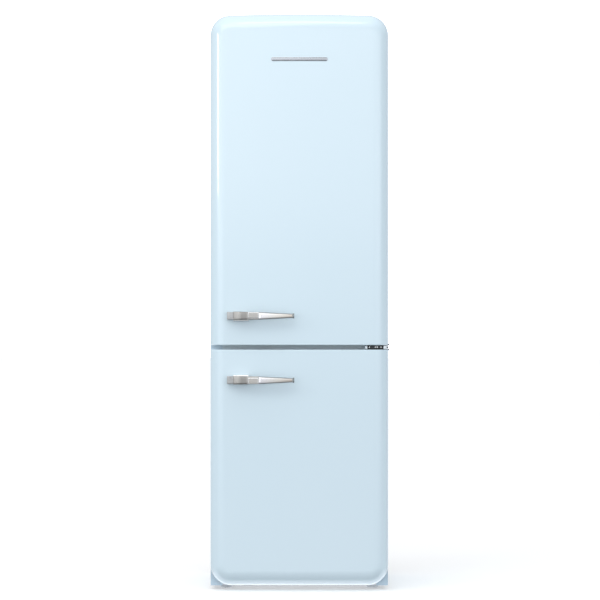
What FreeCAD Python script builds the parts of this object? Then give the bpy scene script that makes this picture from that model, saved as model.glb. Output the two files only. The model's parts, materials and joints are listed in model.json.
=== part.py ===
import FreeCAD, Part
import math
import os

# A tall free-standing refrigerator with two pillow-fronted doors: a long refrigerator door above a
# shorter freezer door, both hinged on the viewer's right.  Millimetres, +Z up, the front faces -Y,
# +X is the viewer's right, and the origin is on the floor below the middle of the whole object.

V = FreeCAD.Vector
os.makedirs("parts", exist_ok=True)

# ------------------------------------------------------------------ driving sizes: the cabinet
width = 601.0                # across the cabinet and both doors
height = 1946.5              # floor to the crown of the upper door
foot_clearance = 14.0        # floor to the underside of the cabinet
cabinet_depth = 573.0        # front flange to the back panel's outer face
front_plane = -233.0         # where the cabinet's front face lies in the frame
corner_radius = 68.0         # rounded corners seen from the front
sheet = 0.8                  # steel sheet of the cabinet and of the door skins
pan_sheet = 1.2              # steel sheet of the base pan
back_lip = 14.0              # inward lip of the wrapper round the back panel
rail_return = 16.0           # flanges of the centre rail, turned back into the foam
foot_nut_half = 16.0
foot_nut_height = 32.0
liner_wall = 1.5             # vacuum-formed plastic liners
side_insulation = 48.0       # outer side face to the cavity
top_insulation = 54.0        # cabinet roof to the cavity
back_insulation = 50.0       # cavity to the back panel
floor_insulation = 70.0      # underside of the cabinet to the freezer cavity
mullion_height = 60.0        # between the two cavities
cavity_radius = 22.0         # rounded inner corners of both cavities
flange_lap = 8.0             # liner rim showing between the cavity and the steel front frame

# ------------------------------------------------------------------ driving sizes: the doors
door_gap = 15.0              # slot between the two doors
door_split = 822.0           # height of the middle of that slot
door_ground_gap = 18.5       # floor to the underside of the lower door
door_thickness = 75.0        # door rear plane to the apex of its front
door_seat = 10.0             # cabinet front to the door's rear plane
front_crown = 7.0            # bulge of the front face across its width
top_crown = 3.4              # rise of the upper door's top edge at the middle
pillow_radius = 52.0         # rounding from the front face into the sides
split_radius = 3.0           # small rounding along the slot between the doors
rim_depth = 4.0              # plastic rim closing the back of each door
rim_inset = 1.5              # rim set in from the door's outline
gasket_width = 16.0
gasket_clear = 0.4           # shut gasket to the cabinet face
gasket_corner = 30.0
gasket_margin = 4.5          # liner rim to the inner edge of the gasket
dike_width = 28.0            # moulded ridge round the inside of the door
dike_reach = 60.0            # door rear plane to the top of the ridge
pad_reach = 18.0             # door rear plane to the panel inside the ridge
freezer_pad_reach = 25.0
pad_clearance = 16.5         # cavity wall to the door's moulded ridge

# ------------------------------------------------------------------ driving sizes: the hinges
pivot_inset = 8.0            # door side face to the hinge axis
pivot_ahead = 19.0           # cabinet front to the hinge axis
pin_radius = 3.5
running_fit = 0.05           # radial clearance of every turning pair
sliding_fit = 0.4            # clearance of every sliding pair
hinge_plate = 5.0            # thickness of the hinge arms
hinge_leaf = 3.0             # thickness of the leaf screwed to the cabinet
pin_length = 20.0
hinge_offset = 75.0          # top and bottom hinges from the ends of their doors
notch_clear = 2.0            # free height above and below an arm in its door pocket
middle_plate_length = 70.0   # the middle hinge along the slot
middle_plate_lap = 10.0      # pivot to the front edge of the middle plate
middle_leaf_height = 20.0
hinge_arm_half = 6.0         # half width of the arms, and the radius of their round ends
hinge_leaf_half = 26.0       # half height of the leaves of the top and bottom hinges
hinge_leaf_lap = 8.0         # leaves past the pivot, towards the cavity
screw_spread = 18.0          # leaf screws above and below the arm
screw_head_radius = 3.2
screw_radius = 2.0
screw_length = 16.0
washer_radius = 7.0
washer_play = 0.3
bush_side = 17.0             # pivot to the free side of a bush block
bush_ahead = 20.0            # pivot to the front of a bush block
bush_floor = 3.0             # plastic under and over the end of a pin
pocket_side = 8.0            # the pocket round an arm, beside and ahead of the pivot
pocket_ahead = 13.0
pin_end_play = 2.0
collar_half = 6.0            # square collar that brings the bush out through the skin
stop_ear = 4.0               # stop tabs standing out of the door sides at the slot
stop_plate = 1.2             # thickness of their root in the slot
stop_ear_height = 4.0
stop_ahead = 6.0             # pivot to the front and rear edges of a stop tab
stop_behind = 4.0
stop_root = 9.0              # root of the tab past the pivot

# ------------------------------------------------------------------ driving sizes: the handles
handle_length = 226.0
handle_inset = 57.5          # door's free edge to the start of the handle
handle_offset_upper = 99.0   # bottom of the upper door to its handle
handle_offset_lower = 101.7  # top of the lower door to its handle
handle_standoff = 46.0       # door apex to the front of the grip
grip_thickness = 12.0
escutcheon_length = 74.0     # foot of the handle on the door
escutcheon_half = 13.0
escutcheon_proud = 20.0      # door apex to the face of the foot
handle_sunk = 12.0           # the foot's stock goes this far past the apex before it is cut to the door
lug_height = 8.5
lug_start = 21.0             # start of the foot to the start of its lug
lug_offset = 9.0             # middle of the handle to the near edge of the lug
lug_proud = 6.0              # face of the foot to the face of the lug
hub_start = 22.0             # start of the foot to the start of the grip
grip_half_start = 14.5       # half heights of the grip at its hub, past its neck and at its tip
grip_half_neck = 13.0
grip_half_tip = 7.5
cap_length = 5.0
cap_half = 8.5
handle_stud_radius = 2.5
badge_drop = 155.0           # crown of the upper door to the bar ornament
badge_half = 95.0
badge_height = 12.0
badge_proud = 2.0

# ------------------------------------------------------------------ driving sizes: inside
bay_height = 216.0           # compressor bay, up from the underside of the cabinet
bay_depth = 190.0            # compressor bay, in from the back
bay_insulation = 50.0        # bay to the freezer cavity
shelf_glass = 4.0
shelf_count = 3
shelf_setback = 38.0         # door bins to the front edges of the shelves
shelf_duct_gap = 12.0        # back edges of the glass to the air duct
crisper_space = 210.0        # cavity floor to the glass over the crisper
rack_rise = 68.0             # that glass to the bottle rack
bottle_space = 120.0         # bottle rack to the lowest shelf
ledge = 8.0                  # moulded ledges that carry shelves
ledge_height = 6.0
tray_wall = 2.5              # moulded bins and drawers
drawer_corner = 10.0         # rounded corners of the freezer drawers
bin_height = 90.0            # small bins in the upper door
bin_count = 2
bottle_bin_height = 130.0
bottle_bin_rise = 50.0       # cavity floor to the bottle bin
bin_reach = 105.0            # door rear plane to the fronts of the bins
bin_play = 0.5               # bins to the panel behind them
bin_rim = 2.5                # rim standing out of a bin's front
saddle_half = 30.0           # bottle retainer along the bin's wall
saddle_wall = 2.0
finger_height = 45.0
lid_thickness = 3.0
lid_pin_radius = 3.0
lid_knuckle_radius = 5.0
dairy_drop = 229.0           # cavity ceiling to the dairy compartment's floor
freezer_drawer_count = 3
freezer_drawer_play = 31.0   # height left free over each freezer drawer
freezer_drawer_setback = 38.0  # door rear plane to the drawer fronts
duct_depth = 20.0            # air duct on the refrigerator's rear wall
duct_half_width = 70.0
vent_half = 45.0
vent_height = 6.0
lens_width = 90.0            # cover of the interior light
lens_play = 0.2
knob_radius = 19.0           # temperature knob
knob_shaft_radius = 5.0
evaporator_depth = 75.0      # evaporator space behind the freezer's rear cover
fan_radius = 42.0
fan_hub_radius = 12.0
fan_shaft_radius = 2.5
fan_blades = 5
fan_pitch = 32.0             # degrees that a blade is turned out of the fan's plane
guard_bar = 3.0              # width of the grille's bars and hoops
fin_count = 18
fin_thickness = 0.5
coil_tube_radius = 4.0
coil_rows = 7
foot_radius = 20.0
foot_stud_radius = 5.0
foot_setback = 84.0          # cabinet front to the foot's axis
foot_inset = 50.5            # cabinet side to the foot's axis
roller_radius = 18.0
roller_width = 16.0
roller_inset = 32.5          # cabinet side to the roller's centre
axle_radius = 4.0
fork_sheet = 2.0             # sheet of the compressor rail and the roller forks
fork_play = 1.0              # roller to the fork beside it
compressor_x = -40.0         # where the compressor stands across the bay
pot_half = 95.0
pot_deep = 62.0
pot_height = 140.0
relay_reach = 46.0           # pot to the outer face of its relay box
inlet_x = 170.0              # where the power inlet stands across the bay
condenser_reach = 24.0       # back panel to the rearmost condenser wire
condenser_tube_radius = 2.5
condenser_inset = 65.5       # cabinet side to the condenser's bends
condenser_rows = 26
bracket_width = 24.0         # upright strips that carry the condenser's bends
bracket_sheet = 1.5
bracket_tab_height = 24.0    # their tabs, screwed to the back panel
wire_radius = 0.8
wire_count = 24              # on each side of the tube
wire_overhang = 12.0         # wires past the outermost tube rows

# ------------------------------------------------------------------ places worked out from those
half = width / 2
back = front_plane + cabinet_depth
cabinet_top = height - top_crown
cavity_half = half - side_insulation
fridge_top = cabinet_top - top_insulation
fridge_floor = door_split + mullion_height / 2
freezer_top = door_split - mullion_height / 2
freezer_floor = foot_clearance + floor_insulation
cavity_back = back - back_insulation
bay_top = foot_clearance + bay_height
bay_front = back - bay_depth
freezer_step_top = bay_top + bay_insulation - 5.0
freezer_step_back = bay_front - bay_insulation
door_rear = front_plane - door_seat
skin_rear = door_rear - rim_depth
door_front = door_rear - door_thickness
upper_bottom = door_split + door_gap / 2
lower_top = door_split - door_gap / 2
lower_bottom = door_ground_gap
pivot = V(half - pivot_inset, front_plane - pivot_ahead, 0)
top_hinge_level = height - hinge_offset
bottom_hinge_level = lower_bottom + hinge_offset
gasket_half = cavity_half + flange_lap + gasket_width + gasket_margin
fridge_ridge_half = cavity_half - pad_clearance
fridge_panel = door_rear + pad_reach
bin_half = fridge_ridge_half - dike_width - 2.0
bin_front = door_rear + bin_reach
bin_rear = fridge_panel + bin_play
foot_side = half - foot_inset
roller_side = half - roller_inset
handle_level_upper = upper_bottom + handle_offset_upper
handle_level_lower = lower_top - handle_offset_lower
duct_front = cavity_back - duct_depth
evaporator_front = cavity_back - evaporator_depth
shelf_front = bin_front + shelf_setback
shelf_back = duct_front - shelf_duct_gap
crisper_lid_level = fridge_floor + crisper_space
rack_level = crisper_lid_level + rack_rise
lowest_shelf = rack_level + bottle_space
shelf_pitch = (fridge_top - lowest_shelf) / shelf_count
shelf_levels = [lowest_shelf + index * shelf_pitch for index in range(shelf_count)]
freezer_front = door_rear + freezer_drawer_setback
freezer_pitch = (freezer_top - freezer_floor) / freezer_drawer_count
freezer_levels = [freezer_floor + 8 + index * freezer_pitch for index in range(freezer_drawer_count)]
freezer_drawer_height = freezer_pitch - freezer_drawer_play

X_AXIS = V(1, 0, 0)
Y_AXIS = V(0, 1, 0)
Z_AXIS = V(0, 0, 1)
MIRROR = (-1, 1)


# ------------------------------------------------------------------ small building functions
def box(x0, x1, y0, y1, z0, z1):
    return Part.makeBox(x1 - x0, y1 - y0, z1 - z0, V(x0, y0, z0))


def rod(radius, start, end):
    axis = end - start
    return Part.makeCylinder(radius, axis.Length, start, axis)


def join(shapes):
    shapes = list(shapes)
    if len(shapes) == 1:
        return shapes[0]
    return shapes[0].fuse(shapes[1:]).removeSplitter()


def cut(shape, tools):
    return shape.cut(list(tools))


def edges_along(shape, direction):
    """The straight edges of a shape that run along a direction."""
    found = []
    for edge in shape.Edges:
        if len(edge.Vertexes) == 2:
            run = edge.Vertexes[1].Point - edge.Vertexes[0].Point
            straight = abs(run.Length - edge.Length) < 0.0001
            if straight and run.normalize() and abs(run.dot(direction)) > 0.999:
                found.append(edge)
    return found


def circles(shape):
    """The full round edges of a shape."""
    return [edge for edge in shape.Edges if edge.isClosed() and edge.Length > 0.01]


def rounded_box(x0, x1, y0, y1, z0, z1, radius, along):
    """A box with the edges along one direction rounded."""
    block = box(x0, x1, y0, y1, z0, z1)
    return block.makeFillet(radius, edges_along(block, along))


def pocket_box(x0, x1, y0, y1, z0, z1, radius, open_face):
    """A box rounded on every edge that doesn't touch its open face, given as (axis, value)."""
    block = box(x0, x1, y0, y1, z0, z1)
    axis, value = open_face
    closed = []
    for edge in block.Edges:
        ends = [getattr(vertex, axis) for vertex in edge.Vertexes]
        if not all(abs(end - value) < 0.001 for end in ends):
            closed.append(edge)
    return block.makeFillet(radius, closed)


def tray(x0, x1, y0, y1, z0, z1, wall, radius):
    """An open-topped bin with even walls."""
    outer = pocket_box(x0, x1, y0, y1, z0, z1, radius, ("Z", z1))
    inner = pocket_box(x0 + wall, x1 - wall, y0 + wall, y1 - wall, z0 + wall, z1 + wall,
                       radius - wall, ("Z", z1 + wall))
    return outer.cut(inner)


def prism(points, direction):
    """A flat outline of straight runs, pushed along a direction."""
    wire = Part.makePolygon(points + [points[0]])
    return Part.Face(wire).extrude(direction)


def save(name, *shapes):
    solids = [solid for shape in shapes for solid in shape.Solids]
    result = solids[0] if len(solids) == 1 else Part.makeCompound(solids)
    result.exportStep("parts/" + name + ".step")


# ------------------------------------------------------------------ the rounded outline and the doors
def arch_wire(half_width, bottom, top, radius, rise, y):
    """Square at the bottom, rounded corners at the top, and a top edge that rises in the middle."""
    span = half_width - radius
    if rise > 0:
        big = (span ** 2 + rise ** 2) / (2 * rise)
        big_z = top - big
        corner_z = big_z + math.sqrt((big - radius) ** 2 - span ** 2)
        lean = V(span, 0, corner_z - big_z).normalize()
        shoulder = V(lean.x * big, y, big_z + lean.z * big)
    else:
        corner_z = top - radius
        lean = V(0, 0, 1)
        shoulder = V(span, y, top)
    bisector = (X_AXIS + lean).normalize()
    corner = V(span, y, corner_z) + bisector * radius
    edges = [
        Part.LineSegment(V(-half_width, y, bottom), V(half_width, y, bottom)),
        Part.LineSegment(V(half_width, y, bottom), V(half_width, y, corner_z)),
        Part.Arc(V(half_width, y, corner_z), corner, shoulder),
    ]
    left_shoulder = V(-shoulder.x, y, shoulder.z)
    if rise > 0:
        edges.append(Part.Arc(shoulder, V(0, y, top), left_shoulder))
    else:
        edges.append(Part.LineSegment(shoulder, left_shoulder))
    edges.append(Part.Arc(left_shoulder, V(-corner.x, y, corner.z), V(-half_width, y, corner_z)))
    edges.append(Part.LineSegment(V(-half_width, y, corner_z), V(-half_width, y, bottom)))
    return Part.Wire([edge.toShape() for edge in edges])


def arch_prism(half_width, bottom, top, radius, rise, y0, y1):
    face = Part.Face(arch_wire(half_width, bottom, top, radius, rise, y0))
    return face.extrude(V(0, y1 - y0, 0))


def standing(shape, rounded_up, level):
    """Puts a door shape built upwards from zero in place, upside down for the lower door."""
    if not rounded_up:
        shape = shape.mirror(V(0, 0, 0), Z_AXIS)
    shape.translate(V(0, 0, level))
    return shape


def pillow(tall, rise, inset, rear):
    """The door's outer shape shrunk by inset, standing on its square end at z = 0."""
    side = half - inset
    front = door_front + inset
    deep = front - pillow_radius
    body = arch_prism(side, inset, tall - inset, corner_radius - inset, rise, rear, deep)
    wide = side + pillow_radius
    crown = front_crown * (wide / half) ** 2
    plan = Part.Wire([
        Part.LineSegment(V(-wide, rear, 0), V(wide, rear, 0)).toShape(),
        Part.LineSegment(V(wide, rear, 0), V(wide, front + crown, 0)).toShape(),
        Part.Arc(V(wide, front + crown, 0), V(0, front, 0), V(-wide, front + crown, 0)).toShape(),
        Part.LineSegment(V(-wide, front + crown, 0), V(-wide, rear, 0)).toShape(),
    ])
    solid = Part.Face(plan).extrude(V(0, 0, tall)).common(body).Solids[0]
    outline = []
    for edge in solid.Edges:
        ahead = all(vertex.Y < rear - 10 for vertex in edge.Vertexes)
        middle = edge.valueAt((edge.FirstParameter + edge.LastParameter) / 2)
        if ahead and abs(middle.z - inset) > 0.01:
            outline.append(edge)
    solid = solid.makeFillet(pillow_radius - inset, outline)
    square_end = []
    for edge in solid.Edges:
        at_end = all(abs(vertex.Z - inset) < 0.01 for vertex in edge.Vertexes)
        at_rear = all(abs(vertex.Y - rear) < 0.01 for vertex in edge.Vertexes)
        if at_end and not at_rear:
            square_end.append(edge)
    return solid.makeFillet(split_radius - inset, square_end)


def screw(head_at, inward, head_radius, shank_radius, shank_length):
    """A pan-head screw: the head stands outside, the shank runs inward."""
    head_height = head_radius * 0.6
    head = rod(head_radius, head_at - inward * head_height, head_at)
    shank = rod(shank_radius, head_at, head_at + inward * shank_length)
    return head.fuse(shank).removeSplitter()


def hinge_axis(z0, z1, radius):
    return rod(radius, V(pivot.x, pivot.y, z0), V(pivot.x, pivot.y, z1))


# ------------------------------------------------------------------ cabinet shell
inner_half = half - sheet
shell_outer = arch_prism(half, foot_clearance, cabinet_top, corner_radius, 0, front_plane, back)
shell_hollow = arch_prism(inner_half, foot_clearance - 5, cabinet_top - sheet,
                          corner_radius - sheet, 0, front_plane + sheet, back - 2 * sheet)
frame_half = cavity_half + flange_lap
frame_top = fridge_top + flange_lap
front_window = rounded_box(-frame_half, frame_half, front_plane - 5, front_plane + 5,
                           foot_clearance - 60, frame_top, cavity_radius + flange_lap, Y_AXIS)
rear_window = arch_prism(inner_half - back_lip, foot_clearance - 5, cabinet_top - back_lip,
                         corner_radius - back_lip, 0, back - 10, back + 10)
rear_rebate = arch_prism(inner_half, foot_clearance - 5, cabinet_top - sheet,
                         corner_radius - sheet, 0, back - sheet, back + 5)
wrapper = cut(shell_outer, [shell_hollow, front_window, rear_window, rear_rebate])

back_panel = arch_prism(inner_half, bay_top + 2, cabinet_top - sheet,
                        corner_radius - sheet, 0, back - sheet, back)

pan_floor = foot_clearance + pan_sheet
pan_roof = bay_top + pan_sheet
pan_front = front_plane + sheet
base_pan = join([
    box(-frame_half, frame_half, front_plane, pan_front, foot_clearance,
        freezer_floor - flange_lap),
    box(-inner_half, inner_half, pan_front, bay_front, foot_clearance, pan_floor),
    box(-inner_half, inner_half, bay_front, bay_front + pan_sheet, foot_clearance, pan_roof),
    box(-inner_half, inner_half, bay_front, back - 2 * sheet, bay_top, pan_roof),
])

center_rail = box(-frame_half, frame_half, front_plane, front_plane + sheet,
                  freezer_top + flange_lap, fridge_floor - flange_lap)
center_rail = join([
    center_rail,
    box(-frame_half, frame_half, front_plane + sheet, front_plane + rail_return,
        fridge_floor - flange_lap - sheet, fridge_floor - flange_lap),
    box(-frame_half, frame_half, front_plane + sheet, front_plane + rail_return,
        freezer_top + flange_lap, freezer_top + flange_lap + sheet),
])


# ------------------------------------------------------------------ liners and insulation
def cavity(grow, floor, top, radius):
    return pocket_box(-cavity_half - grow, cavity_half + grow, front_plane, cavity_back + grow,
                      floor - grow, top + grow, radius + grow, ("Y", front_plane))


def freezer_cavity(grow):
    step = box(-half, half, freezer_step_back + grow, back, 0, freezer_step_top - grow)
    hollow = cavity(grow, freezer_floor, freezer_top, cavity_radius).cut(step)
    bends = []
    for edge in edges_along(hollow, X_AXIS):
        at = edge.valueAt(edge.FirstParameter)
        if abs(at.y - freezer_step_back - grow) < 0.01 and abs(at.z - freezer_step_top + grow) < 0.01:
            bends.append(edge)
    return hollow.makeFillet(12.0, bends) if bends else hollow


def rim_plate(floor, top):
    return rounded_box(-frame_half, frame_half, front_plane, front_plane + liner_wall,
                       floor - flange_lap, top + flange_lap, cavity_radius + flange_lap, Y_AXIS)


def ledges(level, y0, y1):
    """Two moulded ledges, one on each side wall, whose tops are at the given level."""
    pair = []
    for side in MIRROR:
        wall = side * (cavity_half + liner_wall / 2)
        tip = side * (cavity_half - ledge)
        pair.append(box(min(wall, tip), max(wall, tip), y0, y1, level - ledge_height, level))
    return pair


fridge_hollow = cavity(0, fridge_floor, fridge_top, cavity_radius)
fridge_outer = join([cavity(liner_wall, fridge_floor, fridge_top, cavity_radius),
                     rim_plate(fridge_floor, fridge_top)])
fridge_ledges = []
for level in shelf_levels + [crisper_lid_level]:
    fridge_ledges += ledges(level, shelf_front + 6, shelf_back)
fridge_ledges += ledges(rack_level - 4.0, shelf_front + 6, shelf_back)
fridge_liner = join([fridge_outer.cut(fridge_hollow)] + fridge_ledges)


def freezer_rear(level):
    """How far back a shelf or drawer reaches: the evaporator's cover, or the bay's step below it."""
    return freezer_step_back - 12 if level < freezer_step_top else evaporator_front - 14


freezer_shelf_levels = [level - 14.0 for level in freezer_levels[1:]]
freezer_ledges = []
for level in freezer_shelf_levels:
    freezer_ledges += ledges(level, freezer_front + 15, freezer_rear(level) + 2)
freezer_hollow = freezer_cavity(0)
freezer_outer = join([freezer_cavity(liner_wall), rim_plate(freezer_floor, freezer_top)])
freezer_liner = join([freezer_outer.cut(freezer_hollow)] + freezer_ledges)

foot_y = front_plane + foot_setback
foot_nuts = []
foot_nut_top = pan_floor + foot_nut_height
for side in MIRROR:
    nut = box(side * foot_side - foot_nut_half, side * foot_side + foot_nut_half,
              foot_y - foot_nut_half, foot_y + foot_nut_half, pan_floor, foot_nut_top)
    bore = rod(foot_stud_radius + running_fit, V(side * foot_side, foot_y, pan_floor - 1),
               V(side * foot_side, foot_y, foot_nut_top + 1))
    foot_nuts.append(nut.cut(bore))

foam_block = arch_prism(inner_half, pan_floor, cabinet_top - sheet, corner_radius - sheet, 0,
                        front_plane + sheet, back - 2 * sheet)
foam_tools = [
    fridge_outer,
    freezer_outer,
    box(-half, half, bay_front, back, 0, pan_roof),
    box(-frame_half, frame_half, front_plane, front_plane + rail_return,
        freezer_top + flange_lap, fridge_floor - flange_lap),
]
for side in MIRROR:
    foam_tools.append(box(side * foot_side - foot_nut_half, side * foot_side + foot_nut_half,
                          foot_y - foot_nut_half, foot_y + foot_nut_half, 0, foot_nut_top + 20))


# ------------------------------------------------------------------ hinges
def hinge_leaf_plate(x0, x1, z0, z1):
    return box(x0, x1, front_plane - hinge_leaf, front_plane, z0, z1)


def side_hinge(level, pin_up):
    """Arm hidden in the door's pocket, with its pin pointing up or down."""
    arm_low = level - hinge_plate / 2
    arm_high = level + hinge_plate / 2
    arm = box(pivot.x - hinge_arm_half, pivot.x + hinge_arm_half, pivot.y, front_plane,
              arm_low, arm_high)
    leaf = hinge_leaf_plate(pivot.x - hinge_leaf_lap, half - 1.5,
                            level - hinge_leaf_half, level + hinge_leaf_half)
    if pin_up:
        pin = hinge_axis(arm_low, arm_high + pin_length, pin_radius)
    else:
        pin = hinge_axis(arm_low - pin_length, arm_high, pin_radius)
    return join([arm, hinge_axis(arm_low, arm_high, hinge_arm_half), leaf, pin])


top_hinge = side_hinge(top_hinge_level, False)
bottom_hinge = side_hinge(bottom_hinge_level, True)

plate_low = door_split - hinge_plate / 2
plate_high = door_split + hinge_plate / 2
plate_left = half - middle_plate_length
plate_front = pivot.y - middle_plate_lap
middle_plate = rounded_box(plate_left, half - 1, plate_front, front_plane,
                           plate_low, plate_high, 7, Z_AXIS)
middle_leaf = hinge_leaf_plate(plate_left, half - 1, door_split - middle_leaf_height / 2,
                               door_split + middle_leaf_height / 2)
reach = door_gap / 2 + pin_length
middle_pin = hinge_axis(door_split - reach, door_split + reach, pin_radius)
middle_hinge = join([middle_plate, middle_leaf, middle_pin])

washer_height = door_gap / 2 - hinge_plate / 2 - stop_plate - washer_play
washer_gap = hinge_axis(0, height, pin_radius + running_fit)
washers = [
    hinge_axis(plate_high, plate_high + washer_height, washer_radius).cut(washer_gap),
    hinge_axis(plate_low - washer_height, plate_low, washer_radius).cut(washer_gap),
]

screw_spots = []
for level in (top_hinge_level, bottom_hinge_level):
    for side in MIRROR:
        screw_spots.append(V(pivot.x - 2, front_plane - hinge_leaf, level + side * screw_spread))
for step in (0.15, 0.45):
    screw_spots.append(V(plate_left + step * middle_plate_length, front_plane - hinge_leaf,
                         plate_high + 3.7))
hinge_screws = [screw(spot, Y_AXIS, screw_head_radius, screw_radius, screw_length)
                for spot in screw_spots]
top_hinge = cut(top_hinge, hinge_screws)
middle_hinge = cut(middle_hinge, hinge_screws)
bottom_hinge = cut(bottom_hinge, hinge_screws)
wrapper = cut(wrapper, hinge_screws)
center_rail = cut(center_rail, hinge_screws)
fridge_liner = cut(fridge_liner, hinge_screws)
foam_tools += hinge_screws


# ------------------------------------------------------------------ doors
def pocket_bush(level, pin_up):
    """Bush block round the notch that clears a side hinge: the block, its notch and its bore."""
    low = level - hinge_plate / 2 - notch_clear
    high = level + hinge_plate / 2 + notch_clear
    bore_depth = pin_length + pin_end_play
    bottom = low - bush_floor if pin_up else low - bore_depth
    top = high + bore_depth if pin_up else high + bush_floor
    block = box(pivot.x - bush_side, half, pivot.y - bush_ahead, door_rear, bottom, top)
    notch = box(pivot.x - pocket_side, half + 5, pivot.y - pocket_ahead, front_plane, low, high)
    return block, notch, hinge_axis(bottom + bush_floor, top - bush_floor, pin_radius + running_fit)


def end_bush(door_end, inward):
    """Bush block at the slot, its collar through the skin, and its bore; inward is +1 for the upper door."""
    deep = pin_length + bush_floor
    ends = sorted((door_end, door_end + inward * deep))
    block = box(pivot.x - bush_side, half, pivot.y - bush_ahead, skin_rear, ends[0], ends[1])
    collar_ends = sorted((door_end, door_end + inward * 2 * sheet))
    collar = box(pivot.x - collar_half, pivot.x + pivot_inset - split_radius - 0.5,
                 pivot.y - collar_half, skin_rear, collar_ends[0], collar_ends[1])
    bore_ends = sorted((door_end - inward * 5, door_end + inward * (deep - pin_end_play)))
    return block, collar, hinge_axis(bore_ends[0], bore_ends[1], pin_radius + running_fit)


def stop_tab(door_end, inward):
    """Tab that lies in the slot and turns up round the door's side."""
    root = sorted((door_end - inward * stop_plate, door_end))
    ear = sorted((door_end - inward * stop_plate, door_end + inward * stop_ear_height))
    front = pivot.y - stop_ahead
    rear = pivot.y + stop_behind
    tab = box(half, half + stop_ear, front, rear, ear[0], ear[1])
    return join([tab, box(pivot.x - stop_root, half, front, rear, root[0], root[1])])


def ridge_and_panel(grow, floor, top, half_width, ridge, reach, panel_reach):
    """The back of a door's insulation, through its rim: a raised ridge round a lower panel."""
    start = skin_rear
    block = pocket_box(-half_width - grow, half_width + grow, start, door_rear + reach + grow,
                       floor - grow, top + grow, 9.0 + grow, ("Y", start))
    if ridge > 0:
        well = pocket_box(-half_width + ridge + grow, half_width - ridge - grow,
                          door_rear + panel_reach + grow, door_rear + reach + 30,
                          floor + ridge + grow, top - ridge - grow, 9.0 - grow,
                          ("Y", door_rear + reach + 30))
        block = block.cut(well)
    return block


def gasket_ring(floor, top):
    """Square-section seal running round just outside the cavity's mouth."""
    outer = rounded_box(-gasket_half, gasket_half, door_rear, front_plane - gasket_clear,
                        floor - gasket_width, top + gasket_width, gasket_corner, Y_AXIS)
    inner_side = gasket_half - gasket_width
    inner = rounded_box(-inner_side, inner_side, door_rear - 5, front_plane + 5,
                        floor, top, gasket_corner - gasket_width, Y_AXIS)
    return outer.cut(inner)


def handle_shapes(level, lug_side, surface):
    """Foot, grip and studs; lug_side is +1 where the foot's lug is on the upper edge."""
    x0 = -half + handle_inset
    x1 = x0 + handle_length
    foot_end = x0 + escutcheon_length
    hub = x0 + hub_start
    hub_end = foot_end - 4
    front = door_front - handle_standoff
    foot_face = door_front - escutcheon_proud
    sunk = door_front + handle_sunk
    plate = rounded_box(x0, hub_end, foot_face, sunk, level - escutcheon_half, level + escutcheon_half,
                        4.0, Y_AXIS)
    lug_edge = lug_offset + lug_height
    lug_low = min(level + lug_side * lug_offset, level + lug_side * lug_edge)
    lug = rounded_box(x0 + lug_start, foot_end, foot_face - lug_proud, sunk, lug_low,
                      lug_low + lug_height, 2.5, Y_AXIS)
    foot = join([plate, lug]).cut(surface)
    # the grip as seen from above: it swells out of the foot, then runs level to its tip
    inner = front + grip_thickness
    cap_start = x1 - cap_length
    corners = {
        "hub_rear": V(hub, foot_face, 0),
        "hub_front": V(hub, foot_face - 7, 0),
        "shoulder": V(x0 + 60, front + 1, 0),
        "tip_front": V(cap_start, front + cap_length, 0),
        "tip_rear": V(cap_start, inner + 3, 0),
        "heel": V(foot_end + 10, inner + 3, 0),
        "hub_end": V(hub_end, foot_face, 0),
    }
    plan = [
        Part.LineSegment(corners["hub_rear"], corners["hub_front"]),
        Part.Arc(corners["hub_front"], V(x0 + 42, foot_face - 17, 0), corners["shoulder"]),
        Part.Arc(corners["shoulder"], V((x0 + 60 + x1) / 2, front, 0), corners["tip_front"]),
        Part.LineSegment(corners["tip_front"], corners["tip_rear"]),
        Part.Arc(corners["tip_rear"], V((foot_end + x1) / 2, inner, 0), corners["heel"]),
        Part.Arc(corners["heel"], V(foot_end - 1, inner + 6, 0), corners["hub_end"]),
        Part.LineSegment(corners["hub_end"], corners["hub_rear"]),
    ]
    tall = 4 * grip_half_start
    slab = Part.Face(Part.Wire([edge.toShape() for edge in plan])).extrude(V(0, 0, tall))
    slab.translate(V(0, 0, level - tall / 2))
    # and from the front: a long taper towards the hinge side
    ahead = front - 20
    neck = foot_end + 16
    shape = prism([
        V(hub - 2, ahead, level - grip_half_start),
        V(neck, ahead, level - grip_half_neck),
        V(x1, ahead, level - grip_half_tip),
        V(x1, ahead, level + grip_half_tip),
        V(neck, ahead, level + grip_half_neck),
        V(hub - 2, ahead, level + grip_half_start),
    ], V(0, 80, 0))
    grip = slab.common(shape).cut(lug)
    cap = rounded_box(cap_start, x1, front + 4, inner + 4, level - cap_half, level + cap_half,
                      2.0, X_AXIS)
    studs = []
    for spot in (x0 + 12, foot_end - 14):
        studs.append(rod(handle_stud_radius, V(spot, foot_face + 4, level),
                         V(spot, door_front + 38, level)))
    return foot, join([grip, cap]), studs


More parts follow.
